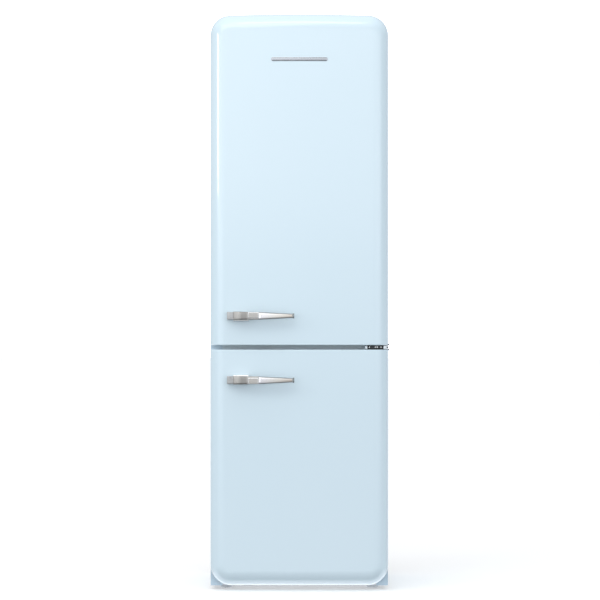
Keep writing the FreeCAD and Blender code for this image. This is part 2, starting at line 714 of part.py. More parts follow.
def build_door(name, rounded_up, square_end, rounded_end, rise, hinge_level, ridge_shapes, gasket,
               handle_level):
    """One insulated door: steel skin, foam, plastic back with its ridge, gasket, bushes and handle."""
    inward = 1 if rounded_up else -1
    tall = abs(rounded_end - square_end)
    whole = standing(pillow(tall, rise, 0, skin_rear), rounded_up, square_end)
    core = standing(pillow(tall, rise, sheet, skin_rear), rounded_up, square_end)
    hollow = standing(pillow(tall, rise, sheet, skin_rear + 5), rounded_up, square_end)
    rim = standing(arch_prism(half - rim_inset, rim_inset, tall - rim_inset,
                              corner_radius - rim_inset, rise, skin_rear, door_rear),
                   rounded_up, square_end)
    ridge_outer, ridge_inner = ridge_shapes
    # bushes
    pocket, notch, pocket_bore = pocket_bush(hinge_level, not rounded_up)
    pocket = pocket.common(join([core, rim]))
    end, collar, end_bore = end_bush(square_end, inward)
    end = join([end.common(core), collar])
    save(name + "_door_bushes", cut(pocket, [notch, pocket_bore]),
         join([end, stop_tab(square_end, inward)]).cut(end_bore))
    # handle
    foot, grip, studs = handle_shapes(handle_level, -inward, whole)
    save(name + "_handle_base", join([foot] + studs))
    save(name + "_handle_grip", grip)
    # shell
    openings = [pocket, notch, end]
    save(name + "_door_skin", cut(whole.cut(hollow), [notch, collar] + studs))
    save(name + "_door_liner", cut(join([rim, ridge_outer]), [core, ridge_inner] + openings))
    save(name + "_door_foam", cut(join([core, ridge_inner]), openings + studs))
    save(name + "_door_gasket", gasket)
    return whole


def ridges(floor, top, ridge, reach, panel_reach):
    """The outer shape of a door's back and the foam inside it."""
    return [ridge_and_panel(grow, floor + pad_clearance, top - pad_clearance, fridge_ridge_half,
                            ridge, reach, panel_reach) for grow in (0, -liner_wall)]


fridge_door = build_door("fridge", True, upper_bottom, height, top_crown, top_hinge_level,
                         ridges(fridge_floor, fridge_top, dike_width, dike_reach, pad_reach),
                         gasket_ring(fridge_floor, fridge_top), handle_level_upper)
build_door("freezer", False, lower_top, lower_bottom, 0, bottom_hinge_level,
           ridges(freezer_floor, freezer_top, 0, freezer_pad_reach, 0),
           gasket_ring(freezer_floor, freezer_top), handle_level_lower)

# plain bar ornament near the top of the upper door
badge_level = height - badge_drop
badge = rounded_box(-badge_half, badge_half, door_front - badge_proud, door_front + 6,
                    badge_level - badge_height / 2, badge_level + badge_height / 2, 5.5, Y_AXIS)
save("front_badge", badge.cut(fridge_door))


# ------------------------------------------------------------------ door bins
def door_bin(z0, z1):
    """Tray between the door's ridges, with a rim that stands a little proud."""
    body = tray(-bin_half, bin_half, bin_rear, bin_front, z0, z1, tray_wall, 12.0)
    rim = rounded_box(-bin_half - 1.5, bin_half + 1.5, bin_rear, bin_front + bin_rim,
                      z1 - 8, z1, 10.0, Z_AXIS)
    hollow = rounded_box(-bin_half + tray_wall, bin_half - tray_wall,
                         bin_rear + tray_wall, bin_front - tray_wall, z1 - 20, z1 + 5,
                         9.5, Z_AXIS)
    return join([body, rim.cut(hollow)])


bottle_floor = fridge_floor + bottle_bin_rise
bottle_top = bottle_floor + bottle_bin_height
dairy_floor = fridge_top - dairy_drop
bin_gap = (dairy_floor - bottle_top - bin_count * bin_height) / (bin_count + 1)
bin_floors = [bottle_top + bin_gap + index * (bin_gap + bin_height) for index in range(bin_count)]
save("door_bins", *[door_bin(floor, floor + bin_height) for floor in bin_floors])
save("bottle_bin", door_bin(bottle_floor, bottle_top))

# bottle retainer: a saddle that slides along the bottle bin's front wall
wall_in = bin_front - tray_wall
wall_out = bin_front + bin_rim
saddle_rear = wall_in - sliding_fit - saddle_wall
saddle = box(-saddle_half, saddle_half, saddle_rear, wall_out + sliding_fit + saddle_wall,
             bottle_top - 14, bottle_top + sliding_fit + saddle_wall)
saddle_slot = box(-saddle_half - 10, saddle_half + 10, wall_in - sliding_fit, wall_out + sliding_fit,
                  bottle_top - 20, bottle_top + sliding_fit)
finger = join([
    box(-2, 2, fridge_panel + 25, saddle_rear, bottle_top - finger_height, bottle_top - 2),
    box(-2, 2, wall_in - 30, wall_in - sliding_fit, bottle_top - 14, bottle_top + 2),
])
save("bottle_retainer", join([saddle.cut(saddle_slot), finger]))

# dairy compartment high in the door, with a lid that lifts about its rear edge
dairy_top = dairy_floor + bin_height
lid_axis_y = fridge_panel + 16.0
ear_front = fridge_panel + 9.6
lid_axis_z = dairy_top + 2.0
dairy_half = bin_half - 6.0
dairy_bin = tray(-dairy_half, dairy_half, bin_rear, bin_front, dairy_floor, dairy_top - 12,
                 tray_wall, 12.0)
dairy_ears = []
for side in MIRROR:
    x0 = side * dairy_half
    x1 = side * (bin_half + 1.0)
    ear = box(min(x0, x1), max(x0, x1), ear_front, lid_axis_y + 12, dairy_floor + 30,
              lid_axis_z + 8)
    dairy_ears.append(ear)
lid_bore = rod(lid_pin_radius + running_fit, V(-half, lid_axis_y, lid_axis_z),
               V(half, lid_axis_y, lid_axis_z))
dairy_bin = cut(join([dairy_bin] + dairy_ears), [lid_bore])
save("dairy_bin", dairy_bin)

lid_half = dairy_half - 0.5
lid_face = bin_front + 1 + lid_thickness
lid_plate = box(-lid_half, lid_half, lid_axis_y, lid_face, dairy_top, dairy_top + lid_thickness)
lid_front = box(-lid_half, lid_half, lid_face - lid_thickness, lid_face, dairy_top - 40, dairy_top + 1)
lid_knuckle = rod(lid_knuckle_radius, V(-lid_half, lid_axis_y, lid_axis_z),
                  V(lid_half, lid_axis_y, lid_axis_z))
lid_pin = rod(lid_pin_radius, V(-bin_half, lid_axis_y, lid_axis_z),
              V(bin_half, lid_axis_y, lid_axis_z))
save("dairy_lid", join([lid_plate, lid_front, lid_knuckle, lid_pin]))

# ------------------------------------------------------------------ refrigerator compartment
glass_half = cavity_half - 2.5
trim_height = 12.0
glasses = []
trims = []
for level in shelf_levels:
    glasses.append(box(-glass_half, glass_half, shelf_front, shelf_back, level, level + shelf_glass))
    for y in (shelf_front - 10, shelf_back):
        trim = box(-glass_half, glass_half, y, y + 10, level - 4, level - 4 + trim_height)
        trims.append(trim.makeFillet(2.5, edges_along(trim, X_AXIS)))
crisper_lid = box(-glass_half, glass_half, shelf_front, shelf_back,
                  crisper_lid_level, crisper_lid_level + shelf_glass)
save("fridge_shelves", *glasses, crisper_lid)
slider_slot_half = 50.0
crisper_trim = box(-glass_half, glass_half, shelf_front - 12, shelf_front,
                   crisper_lid_level - 8, crisper_lid_level + 10)
slot = box(-slider_slot_half, slider_slot_half, shelf_front - 13, shelf_front - 4,
           crisper_lid_level - 3, crisper_lid_level + 5)
save("shelf_trims", *trims, crisper_trim.cut(slot))
slider = join([
    box(-18, 18, shelf_front - 12 + sliding_fit, shelf_front - 4 - sliding_fit,
        crisper_lid_level - 3 + sliding_fit, crisper_lid_level + 5 - sliding_fit),
    box(-5, 5, shelf_front - 15, shelf_front - 10,
        crisper_lid_level - 1, crisper_lid_level + 3),
])
save("humidity_slider", slider)

crisper_half = cavity_half - ledge - 4.0
crisper_floor = fridge_floor + 4.0
crisper_height = crisper_lid_level - 14.0
crisper_front = shelf_front - 14.0
crisper = tray(-crisper_half, crisper_half, crisper_front + 4, shelf_back - 10,
               crisper_floor, crisper_height, tray_wall, 18.0)
crisper_panel = rounded_box(-crisper_half - 3, crisper_half + 3, crisper_front - 2, crisper_front + 4,
                            crisper_floor, crisper_height + 2, 8.0, Y_AXIS)
crisper_grab = rounded_box(-70, 70, crisper_front - 10, crisper_front + 1, crisper_height - 34,
                           crisper_height - 30, 1.9, X_AXIS)
save("crisper_drawer", join([crisper, crisper_panel, crisper_grab]))


def wave_rod(y, level, radius, pitch, dip, count):
    """A cross wire bent into shallow cradles."""
    edges = []
    x = -pitch * count / 2
    for index in range(count):
        start = V(x, y, level)
        middle = V(x + pitch / 2, y, level - dip)
        end = V(x + pitch, y, level)
        edges.append(Part.Arc(start, middle, end).toShape())
        x += pitch
    path = Part.Wire(edges)
    ring = Part.Wire(Part.makeCircle(radius, V(-pitch * count / 2, y, level),
                                     edges[0].tangentAt(edges[0].FirstParameter)))
    return path.makePipeShell([ring], True, False, 2)


rack_wire = 3.0
rack_half = cavity_half - ledge / 2 - 1.0
rack_rods = []
for side in MIRROR:
    rack_rods.append(rod(rack_wire, V(side * (rack_half - rack_wire), shelf_front + 10, rack_level),
                         V(side * (rack_half - rack_wire), shelf_back - 12, rack_level)))
rack_count = 5
rack_pitch = 2 * (rack_half - rack_wire) / rack_count
rack_wave_count = 5
rack_wave_pitch = (shelf_back - shelf_front - 44) / (rack_wave_count - 1)
for index in range(rack_wave_count):
    y = shelf_front + 22 + index * rack_wave_pitch
    rack_rods.append(wave_rod(y, rack_level, rack_wire * 0.8, rack_pitch, 22.0, rack_count))
save("bottle_rack", join(rack_rods))

duct = rounded_box(-duct_half_width, duct_half_width, duct_front, cavity_back,
                   rack_level + 20, fridge_top - 60, 14.0, Y_AXIS)
vents = []
for level in shelf_levels:
    for step in (20, 32, 44):
        vents.append(box(-vent_half, vent_half, duct_front - 1, duct_front + 8,
                         level + step, level + step + vent_height))
save("air_duct", cut(duct, vents))

control_half = 105.0
control_bottom = fridge_top - 38.0
control_front = shelf_front - 20.0
control = rounded_box(-control_half, control_half, control_front, control_front + 170,
                      control_bottom, fridge_top - 1, 16.0, Z_AXIS)
knob_at = V(-52, control_front + 60, control_bottom)
knob_bore = rod(knob_shaft_radius + running_fit, knob_at, knob_at + Z_AXIS * 14)
lens_front = control_front + 30
lens_rear = control_front + 140
lens_pocket = rounded_box(0, lens_width, lens_front, lens_rear, control_bottom - 5,
                          control_bottom + 12, 8.0, Z_AXIS)
save("control_housing", cut(control, [knob_bore, lens_pocket]))
lens = rounded_box(lens_play, lens_width - lens_play, lens_front + lens_play, lens_rear - lens_play,
                   control_bottom - 3, control_bottom + 2, 8.0 - lens_play, Z_AXIS)
save("light_lens", lens)
knob = join([
    rod(knob_radius, knob_at - Z_AXIS * 13, knob_at - Z_AXIS * 0.5),
    rod(knob_shaft_radius, knob_at - Z_AXIS * 1, knob_at + Z_AXIS * 12),
    box(knob_at.x - 2.5, knob_at.x + 2.5, knob_at.y - knob_radius + 1, knob_at.y + knob_radius - 1,
        control_bottom - 18, control_bottom - 12),
])
save("temperature_knob", knob)

# ------------------------------------------------------------------ freezer compartment
freezer_glasses = [box(-glass_half, glass_half, freezer_front + 15, freezer_rear(level),
                       level, level + shelf_glass) for level in freezer_shelf_levels]
save("freezer_shelves", *freezer_glasses)

drawer_half = cavity_half - 7.0
drawer_names = ("freezer_drawer_lower", "freezer_drawer_middle", "freezer_drawer_upper")
for name, floor in zip(drawer_names, freezer_levels):
    body = tray(-drawer_half + 3, drawer_half - 3, freezer_front + 5, freezer_rear(floor), floor,
                floor + freezer_drawer_height - 8, tray_wall, drawer_corner)
    face = rounded_box(-drawer_half, drawer_half, freezer_front, freezer_front + 5, floor,
                       floor + freezer_drawer_height, 10.0, Y_AXIS)
    grab = rounded_box(-drawer_half + 30, drawer_half - 30, freezer_front - 9, freezer_front + 1,
                       floor + freezer_drawer_height - 34, floor + freezer_drawer_height - 30,
                       1.9, X_AXIS)
    save(name, join([body, face, grab]))

cover_bottom = freezer_step_top + 8.0
cover_top = freezer_top - 10.0
cover_half = cavity_half - 12.0
fan_level = cover_top - 62.0
evaporator_cover = box(-cover_half, cover_half, evaporator_front - 8, evaporator_front - 5,
                       cover_bottom, cover_top)
fan_window = rod(fan_radius + 6, V(0, evaporator_front - 20, fan_level),
                 V(0, evaporator_front + 5, fan_level))
intakes = []
for index in range(9):
    x = -144 + index * 36
    intakes.append(box(x - 13, x + 13, evaporator_front - 20, evaporator_front + 5,
                       cover_bottom + 12, cover_bottom + 22))
evaporator_cover = cut(evaporator_cover, [fan_window] + intakes)

def guard_hoop(outer, inner, rear):
    """One round of the fan's grille."""
    hoop = rod(outer, V(0, guard_front, fan_level), V(0, rear, fan_level))
    return hoop.cut(rod(inner, V(0, guard_front - 8, fan_level), V(0, evaporator_front, fan_level)))


guard_front = evaporator_front - 12
guard_rear = guard_front + guard_bar
guard_parts = [guard_hoop(fan_radius + 12, fan_radius + 2, evaporator_front - 8)]
for turn in range(3):
    bar = box(-fan_radius - 6, fan_radius + 6, guard_front, guard_rear, -guard_bar / 2, guard_bar / 2)
    bar.rotate(V(0, 0, 0), Y_AXIS, turn * 60)
    bar.translate(V(0, 0, fan_level))
    guard_parts.append(bar)
for radius in (14.0, 28.0):
    guard_parts.append(guard_hoop(radius + guard_bar / 2, radius - guard_bar / 2, guard_rear))
save("evaporator_cover", join([evaporator_cover] + guard_parts))

fan_y = evaporator_front + 6.0
motor_front = fan_y + 14.0
motor = rod(20.0, V(0, motor_front, fan_level), V(0, motor_front + 24, fan_level))
motor_shaft = rod(fan_shaft_radius, V(0, fan_y - 2, fan_level), V(0, motor_front, fan_level))
motor_arms = box(-cover_half + 60, cover_half - 60, motor_front + 24, motor_front + 27,
                 fan_level - 8, fan_level + 8)
save("fan_motor", join([motor, motor_shaft, motor_arms]))
hub = rod(fan_hub_radius, V(0, fan_y - 5, fan_level), V(0, fan_y + 10, fan_level))
fan_parts = [hub]
for index in range(fan_blades):
    blade = box(-9, 9, -1, 1, 8, fan_radius)
    blade.rotate(V(0, 0, 0), Z_AXIS, fan_pitch)
    blade.rotate(V(0, 0, 0), Y_AXIS, index * 360.0 / fan_blades)
    blade.translate(V(0, fan_y + 2.5, fan_level))
    fan_parts.append(blade)
fan_bore = rod(fan_shaft_radius + running_fit, V(0, fan_y - 2 - running_fit, fan_level),
               V(0, fan_y + 30, fan_level))
save("evaporator_fan", join(fan_parts).cut(fan_bore))


def serpentine(radius, half_span, y, low, high, rows):
    """A tube that runs side to side and climbs by U-bends, its ends pointing outward."""
    pitch = (high - low) / (rows - 1)
    edges = []
    for row in range(rows):
        z = low + row * pitch
        heading = 1 if row % 2 == 0 else -1
        edges.append(Part.LineSegment(V(-heading * half_span, y, z), V(heading * half_span, y, z)).toShape())
        if row < rows - 1:
            bend = V(heading * (half_span + pitch / 2), y, z + pitch / 2)
            edges.append(Part.Arc(V(heading * half_span, y, z), bend,
                                  V(heading * half_span, y, z + pitch)).toShape())
    path = Part.Wire(edges)
    ring = Part.Wire(Part.makeCircle(radius, V(-half_span, y, low), X_AXIS))
    return path.makePipeShell([ring], True, False, 2)


coil_y = (evaporator_front + cavity_back) / 2
coil_low = cover_bottom + 40.0
coil_high = fan_level - fan_radius - 40.0
coil = serpentine(coil_tube_radius, 150.0, coil_y, coil_low, coil_high, coil_rows)
fins = []
for index in range(fin_count):
    x = -140 + index * 280.0 / (fin_count - 1)
    fin = box(x - fin_thickness / 2, x + fin_thickness / 2, coil_y - 22, coil_y + 22,
              coil_low - 14, coil_high + 14)
    fins.append(fin.cut(coil))
save("evaporator", coil, *fins)

# ------------------------------------------------------------------ compressor bay
rail_level = foot_clearance + 8.0
bay_middle = (bay_front + back) / 2
rail_front = bay_middle - 70
rail_rear = bay_middle + 62
rail_face = rail_level + fork_sheet
rail = box(-inner_half, inner_half, rail_front, rail_rear, rail_level, rail_face)
rail_lips = [box(-inner_half, inner_half, y, y + fork_sheet, rail_level, rail_level + 14)
             for y in (rail_front, rail_rear - fork_sheet)]
roller_y = bay_middle
roller_z = roller_radius
roller_holes = [box(side * roller_side - roller_width / 2 - 5, side * roller_side + roller_width / 2 + 5,
                    roller_y - roller_radius - 6, roller_y + roller_radius + 6,
                    rail_level - 5, rail_level + 5) for side in MIRROR]
rail = cut(join([rail] + rail_lips), roller_holes)

fork_half = roller_width / 2 + fork_play + fork_sheet
fork_top = rail_level + 24
ear_half = 12.0
leg_half = 40.0
roller_frames = []
rollers = []
for side in MIRROR:
    centre = side * roller_side
    ears = []
    for edge in MIRROR:
        inner_face = centre + edge * (roller_width / 2 + fork_play)
        outer_face = centre + edge * fork_half
        ears.append(box(min(inner_face, outer_face), max(inner_face, outer_face),
                        roller_y - ear_half, roller_y + ear_half, roller_z - 7, fork_top))
    bridge = box(centre - fork_half, centre + fork_half, roller_y - leg_half, roller_y + leg_half,
                 fork_top - fork_sheet, fork_top)
    legs = [box(centre - fork_half, centre + fork_half, y, y + fork_sheet, rail_face, fork_top)
            for y in (roller_y - leg_half, roller_y + leg_half - fork_sheet)]
    axle = rod(axle_radius, V(centre - fork_half, roller_y, roller_z),
               V(centre + fork_half, roller_y, roller_z))
    roller_frames.append(join(ears + [bridge, axle] + legs))
    wheel = rod(roller_radius, V(centre - roller_width / 2, roller_y, roller_z),
                V(centre + roller_width / 2, roller_y, roller_z))
    bore = rod(axle_radius + running_fit, V(centre - roller_width, roller_y, roller_z),
               V(centre + roller_width, roller_y, roller_z))
    rollers.append(wheel.makeFillet(1.5, circles(wheel)).cut(bore))
save("compressor_rail", join([rail] + roller_frames))
save("roller_left", rollers[0])
save("roller_right", rollers[1])

pot_low = rail_level + 18.0
pot_high = pot_low + pot_height
pot = box(compressor_x - pot_half, compressor_x + pot_half, bay_middle - pot_deep,
          bay_middle + pot_deep, pot_low, pot_high)
pot = pot.makeFillet(45.0, edges_along(pot, Z_AXIS))
ends = [edge for edge in pot.Edges if all(abs(v.Z - pot_low) < 0.01 for v in edge.Vertexes)
        or all(abs(v.Z - pot_high) < 0.01 for v in edge.Vertexes)]
pot = pot.makeFillet(28.0, ends)
saddle_plate = box(compressor_x - 105, compressor_x + 105, bay_middle - 55, bay_middle + 55,
                   pot_low + 2, pot_low + 5)
stubs = [rod(4.0, V(compressor_x + x, bay_middle - 20, pot_low + 90),
             V(compressor_x + x, bay_middle - 20, pot_high + 22)) for x in (-70, -50)]
pot_side = compressor_x + pot_half
relay = rounded_box(pot_side - 6, pot_side + relay_reach, bay_middle - 30, bay_middle + 30,
                    pot_low + 40, pot_low + 105, 6.0, X_AXIS)
save("compressor", join([pot, saddle_plate, relay] + stubs))
mounts = []
for x in MIRROR:
    for y in MIRROR:
        spot = V(compressor_x + x * 92, bay_middle + y * 44, rail_face)
        mounts.append(rod(11.0, spot, V(spot.x, spot.y, pot_low + 2)))
save("compressor_mounts", *mounts)
tray_low = pot_high + 4.0
drip_tray = tray(compressor_x - 30, compressor_x + 90, bay_middle - 55, bay_middle + 60,
                 tray_low, tray_low + 26, 2.0, 8.0)
save("drip_tray", drip_tray)
inlet = join([
    box(inlet_x - 22, inlet_x + 22, bay_middle + 30, rail_rear, rail_level + 14, rail_level + 52),
    box(inlet_x - 26, inlet_x + 26, rail_rear, rail_rear + 3, rail_face, rail_level + 56),
])
inlet_well = box(inlet_x - 13, inlet_x + 13, bay_middle + 46, bay_middle + 70,
                 rail_level + 24, rail_level + 42)
save("power_inlet", inlet.cut(inlet_well))

# ------------------------------------------------------------------ feet
feet = []
for side in MIRROR:
    centre = V(side * foot_side, foot_y, 0)
    pad = rod(foot_radius, centre, centre + Z_AXIS * 9)
    pad = pad.makeFillet(1.5, [edge for edge in circles(pad) if edge.Vertexes[0].Z > 5])
    stud = rod(foot_stud_radius, centre + Z_AXIS * 5, centre + Z_AXIS * (foot_nut_top + 2))
    feet.append(join([pad, stud]))
save("foot_left", feet[0])
save("foot_right", feet[1])
stud_holes = [rod(foot_stud_radius + 1.0, V(side * foot_side, foot_y, foot_clearance - 5),
                  V(side * foot_side, foot_y, pan_floor + 1)) for side in MIRROR]
base_pan = join([cut(base_pan, stud_holes)] + foot_nuts)

# ------------------------------------------------------------------ rear condenser
condenser_half = half - condenser_inset
tube_y = back + condenser_reach - 2 * wire_radius - condenser_tube_radius
condenser_low = bay_top + 90.0
condenser_high = cabinet_top - 190.0
condenser_tube = serpentine(condenser_tube_radius, condenser_half, tube_y, condenser_low,
                            condenser_high, condenser_rows)
wires = []
wire_half = condenser_half - 12.0
for index in range(wire_count):
    x = -wire_half + index * 2 * wire_half / (wire_count - 1)
    for side in MIRROR:
        y = tube_y + side * (condenser_tube_radius + wire_radius)
        wires.append(rod(wire_radius, V(x, y, condenser_low - wire_overhang),
                         V(x, y, condenser_high + wire_overhang)))
save("condenser_wires", *wires)

# upright strips welded on inside the bends, and the bent tabs that hold them off the back panel
bracket_bite = 0.6           # the tube sinks this far into the strip it is welded to
bracket_back = tube_y - condenser_tube_radius + bracket_bite
bracket_front = bracket_back - bracket_sheet
tab_span = (condenser_high - condenser_low) / 6
strips = []
tabs = []
for side in MIRROR:
    x0 = min(side * (condenser_half - 4), side * (condenser_half - 4 + bracket_width))
    x1 = x0 + bracket_width
    strips.append(box(x0, x1, bracket_front, bracket_back, condenser_low - wire_overhang,
                      condenser_high + wire_overhang))
    for level in (condenser_low + tab_span, condenser_high - tab_span):
        tabs.append(join([
            box(x0, x1, back, bracket_front, level, level + bracket_sheet),
            box(x0, x1, back, back + bracket_sheet, level, level + bracket_tab_height),
        ]))
save("condenser", join([condenser_tube] + strips), *tabs)

# ------------------------------------------------------------------ cabinet pieces cut last
save("cabinet_wrapper", wrapper)
save("back_panel", back_panel)
save("base_pan", base_pan)
save("center_rail", center_rail)
save("fridge_liner", fridge_liner)
save("freezer_liner", freezer_liner)
save("cabinet_foam", cut(foam_block, foam_tools))
save("top_hinge", top_hinge)
save("middle_hinge", middle_hinge)
save("bottom_hinge", bottom_hinge)
save("hinge_washers", *washers)
save("hinge_screws", *hinge_screws)
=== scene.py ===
import json
from math import atan2, copysign, cos, hypot, pi, radians, sin, sqrt

import bmesh
import bpy
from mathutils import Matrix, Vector


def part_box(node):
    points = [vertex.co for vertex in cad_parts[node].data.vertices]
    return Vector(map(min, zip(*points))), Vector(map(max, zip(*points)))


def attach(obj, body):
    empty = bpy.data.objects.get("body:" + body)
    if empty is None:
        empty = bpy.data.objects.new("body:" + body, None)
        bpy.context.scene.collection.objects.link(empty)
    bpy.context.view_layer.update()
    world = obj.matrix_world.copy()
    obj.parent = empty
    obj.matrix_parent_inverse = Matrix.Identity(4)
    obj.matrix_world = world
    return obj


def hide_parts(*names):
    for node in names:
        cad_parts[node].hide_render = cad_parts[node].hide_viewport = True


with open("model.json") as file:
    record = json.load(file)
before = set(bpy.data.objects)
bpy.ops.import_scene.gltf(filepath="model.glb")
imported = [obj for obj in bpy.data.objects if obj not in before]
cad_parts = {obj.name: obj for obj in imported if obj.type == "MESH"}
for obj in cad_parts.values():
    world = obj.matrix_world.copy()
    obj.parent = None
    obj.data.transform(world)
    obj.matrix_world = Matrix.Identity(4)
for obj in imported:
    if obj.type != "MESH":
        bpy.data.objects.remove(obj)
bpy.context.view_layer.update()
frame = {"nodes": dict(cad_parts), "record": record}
NODES = frame["nodes"]


# ---------------------------------------------------------------- material building blocks
class Finish:
    """One procedural material: a Principled shader fed by object-space patterns, in metres."""

    def __init__(self, name, **values):
        self.name = name
        self.material = bpy.data.materials.new(name)
        self.material.use_nodes = True
        self.tree = self.material.node_tree
        self.shader = next(n for n in self.tree.nodes if n.type == "BSDF_PRINCIPLED")
        for socket, value in values.items():
            self.shader.inputs[socket.replace("_", " ")].default_value = value
        self.where = self.tree.nodes.new("ShaderNodeTexCoord").outputs["Object"]
        self.bumped = None

    def node(self, kind):
        return self.tree.nodes.new(kind)

    def link(self, source, target):
        self.tree.links.new(source, target)

    def stretched(self, scale):
        mapping = self.node("ShaderNodeMapping")
        mapping.inputs["Scale"].default_value = scale
        self.link(self.where, mapping.inputs["Vector"])
        return mapping.outputs["Vector"]

    def noise(self, per_metre, detail=3.0, stretch=(1, 1, 1)):
        made = self.node("ShaderNodeTexNoise")
        made.inputs["Scale"].default_value = per_metre
        made.inputs["Detail"].default_value = detail
        self.link(self.stretched(stretch), made.inputs["Vector"])
        return made.outputs["Fac"]

    def cells(self, per_metre, output="Distance"):
        made = self.node("ShaderNodeTexVoronoi")
        made.inputs["Scale"].default_value = per_metre
        self.link(self.where, made.inputs["Vector"])
        return made.outputs[output]

    def ramp(self, factor, low, high):
        """Maps a pattern onto a range of colours or, given numbers, onto greys."""
        made = self.node("ShaderNodeValToRGB")
        for element, place, value in zip(made.color_ramp.elements, (0.3, 0.7), (low, high)):
            element.position = place
            element.color = (*value, 1) if isinstance(value, tuple) else (value, value, value, 1)
        self.link(factor, made.inputs["Fac"])
        return made.outputs["Color"]

    def colour_along_x(self, stops):
        """Colours by position along X: stops are (x in metres, colour); a pattern frays the borders."""
        first, last = stops[0][0], stops[-1][0]
        share = self.node("ShaderNodeMapRange")
        share.inputs["From Min"].default_value = first
        share.inputs["From Max"].default_value = last
        place = self.node("ShaderNodeSeparateXYZ")
        self.link(self.where, place.inputs["Vector"])
        self.link(place.outputs["X"], share.inputs["Value"])
        fray = self.node("ShaderNodeMath")
        fray.operation = "MULTIPLY_ADD"
        self.link(self.noise(90, stretch=(0.1, 1, 1)), fray.inputs[0])
        fray.inputs[1].default_value = 0.02
        self.link(share.outputs["Result"], fray.inputs[2])
        made = self.node("ShaderNodeValToRGB")
        while len(made.color_ramp.elements) < len(stops):
            made.color_ramp.elements.new(0.5)
        for element, (x, value) in zip(made.color_ramp.elements, stops):
            element.position = (x - first) / (last - first)
            element.color = (*value, 1)
        self.link(fray.outputs["Value"], made.inputs["Fac"])
        self.link(made.outputs["Color"], self.shader.inputs["Base Color"])
        return self

    def colour(self, factor, low, high):
        self.link(self.ramp(factor, low, high), self.shader.inputs["Base Color"])
        return self

    def roughness(self, factor, low, high):
        self.link(self.ramp(factor, low, high), self.shader.inputs["Roughness"])
        return self

    def bump(self, height, depth):
        """Adds relief of the given depth in metres; several calls add up."""
        made = self.node("ShaderNodeBump")
        made.inputs["Distance"].default_value = depth
        self.link(height, made.inputs["Height"])
        if self.bumped:
            self.link(self.bumped, made.inputs["Normal"])
        self.bumped = made.outputs["Normal"]
        self.link(self.bumped, self.shader.inputs["Normal"])
        return self


def enamel(name, low, high):
    made = Finish(name, Coat_Weight=1.0, Coat_Roughness=0.04, Coat_IOR=1.5)
    made.colour(made.noise(1.3, 2.0), low, high)
    made.roughness(made.noise(25, 3.0), 0.28, 0.36)
    return made.bump(made.noise(260, 1.0), 0.000015)


def dark_paint():
    made = Finish("dark_paint")
    made.colour(made.noise(30), (0.018, 0.018, 0.020), (0.035, 0.035, 0.038))
    made.roughness(made.noise(60), 0.38, 0.55)
    return made.bump(made.noise(900, 2.0), 0.00003)


def plated_steel():
    made = Finish("plated_steel", Metallic=1.0)
    made.colour(made.cells(95, "Color"), (0.50, 0.52, 0.54), (0.58, 0.595, 0.61))
    made.roughness(made.cells(95), 0.30, 0.42)
    return made.bump(made.noise(700, 2.0), 0.00001)


def hinge_steel():
    made = Finish("hinge_steel", Metallic=0.6)
    made.colour(made.noise(120), (0.065, 0.066, 0.068), (0.09, 0.091, 0.093))
    made.roughness(made.noise(200), 0.30, 0.45)
    return made.bump(made.noise(1500, 2.0), 0.00002)


def polished():
    made = Finish("polished", Metallic=1.0)
    made.colour(made.noise(12), (0.74, 0.725, 0.70), (0.80, 0.79, 0.77))
    made.roughness(made.noise(40, stretch=(0.2, 1, 1)), 0.06, 0.14)
    return made


def brushed(name, low, high, rough):
    """Satin metal with fine lines along X."""
    made = Finish(name, Metallic=1.0)
    made.colour(made.noise(60, stretch=(0.15, 1, 1)), low, high)
    made.roughness(made.noise(90, stretch=(0.1, 1, 1)), *rough)
    return made.bump(made.noise(2200, 2.0, stretch=(0.04, 1, 1)), 0.00002)


def lever_metal():
    """The handles' satin metal with painted shade: darker across the hub, across the neck and along the
    taper's borders, standing in for the dark surroundings those curves reflect.
    """
    made = brushed("lever_metal", (0.44, 0.435, 0.425), (0.51, 0.505, 0.49), (0.26, 0.36))
    # painted shade: hub, neck and taper are darker than the rim, which keeps the metal's own grey
    hub = (0.40, 0.38, 0.35)
    neck = (0.285, 0.27, 0.25)
    rim = (0.48, 0.46, 0.43)
    taper = (0.32, 0.33, 0.33)
    return made.colour_along_x([(-0.222, hub), (-0.202, hub), (-0.192, neck), (-0.175, neck),
                                (-0.171, rim), (-0.139, rim), (-0.128, taper), (-0.017, taper)])


def face_metal():
    """The polished plate on the taper, with a painted highlight and reflection: bright at its start, then
    warmer and dimmer towards the tip.
    """
    made = brushed("face_metal", (0.80, 0.79, 0.77), (0.84, 0.82, 0.80), (0.07, 0.12))
    return made.colour_along_x([(-0.137, (0.74, 0.71, 0.73)), (-0.128, (0.68, 0.65, 0.65)),
                                (-0.080, (0.60, 0.57, 0.52)), (-0.020, (0.51, 0.45, 0.39))])


def plastic(name, low, high, rough=(0.35, 0.45), grain=900, depth=0.00003):
    made = Finish(name)
    made.colour(made.noise(6, 2.0), low, high)
    made.roughness(made.noise(20, 1.0), *rough)
    return made.bump(made.noise(grain, 2.0), depth)


def clear_plastic(name, low, high, rough):
    made = Finish(name, Transmission_Weight=0.85, IOR=1.1)
    made.colour(made.noise(8, 2.0), low, high)
    made.roughness(made.noise(40), *rough)
    return made.bump(made.noise(500, 1.0), 0.000006)


def glass():
    made = Finish("glass", Transmission_Weight=0.95, IOR=1.2)
    made.colour(made.noise(8, 2.0), (0.80, 0.93, 0.90), (0.86, 0.96, 0.94))
    made.roughness(made.noise(40), 0.0, 0.04)
    return made


def foam():
    made = plastic("foam", (0.70, 0.60, 0.36), (0.80, 0.71, 0.48), (0.85, 0.95), 500, 0.0006)
    return made.bump(made.cells(260), 0.0006)


def coil_metal():
    made = Finish("coil_metal", Metallic=1.0)
    made.colour(made.noise(40), (0.62, 0.63, 0.64), (0.74, 0.75, 0.76))
    made.roughness(made.noise(150, stretch=(1, 1, 0.1)), 0.25, 0.4)
    return made.bump(made.noise(1200, 2.0), 0.00002)


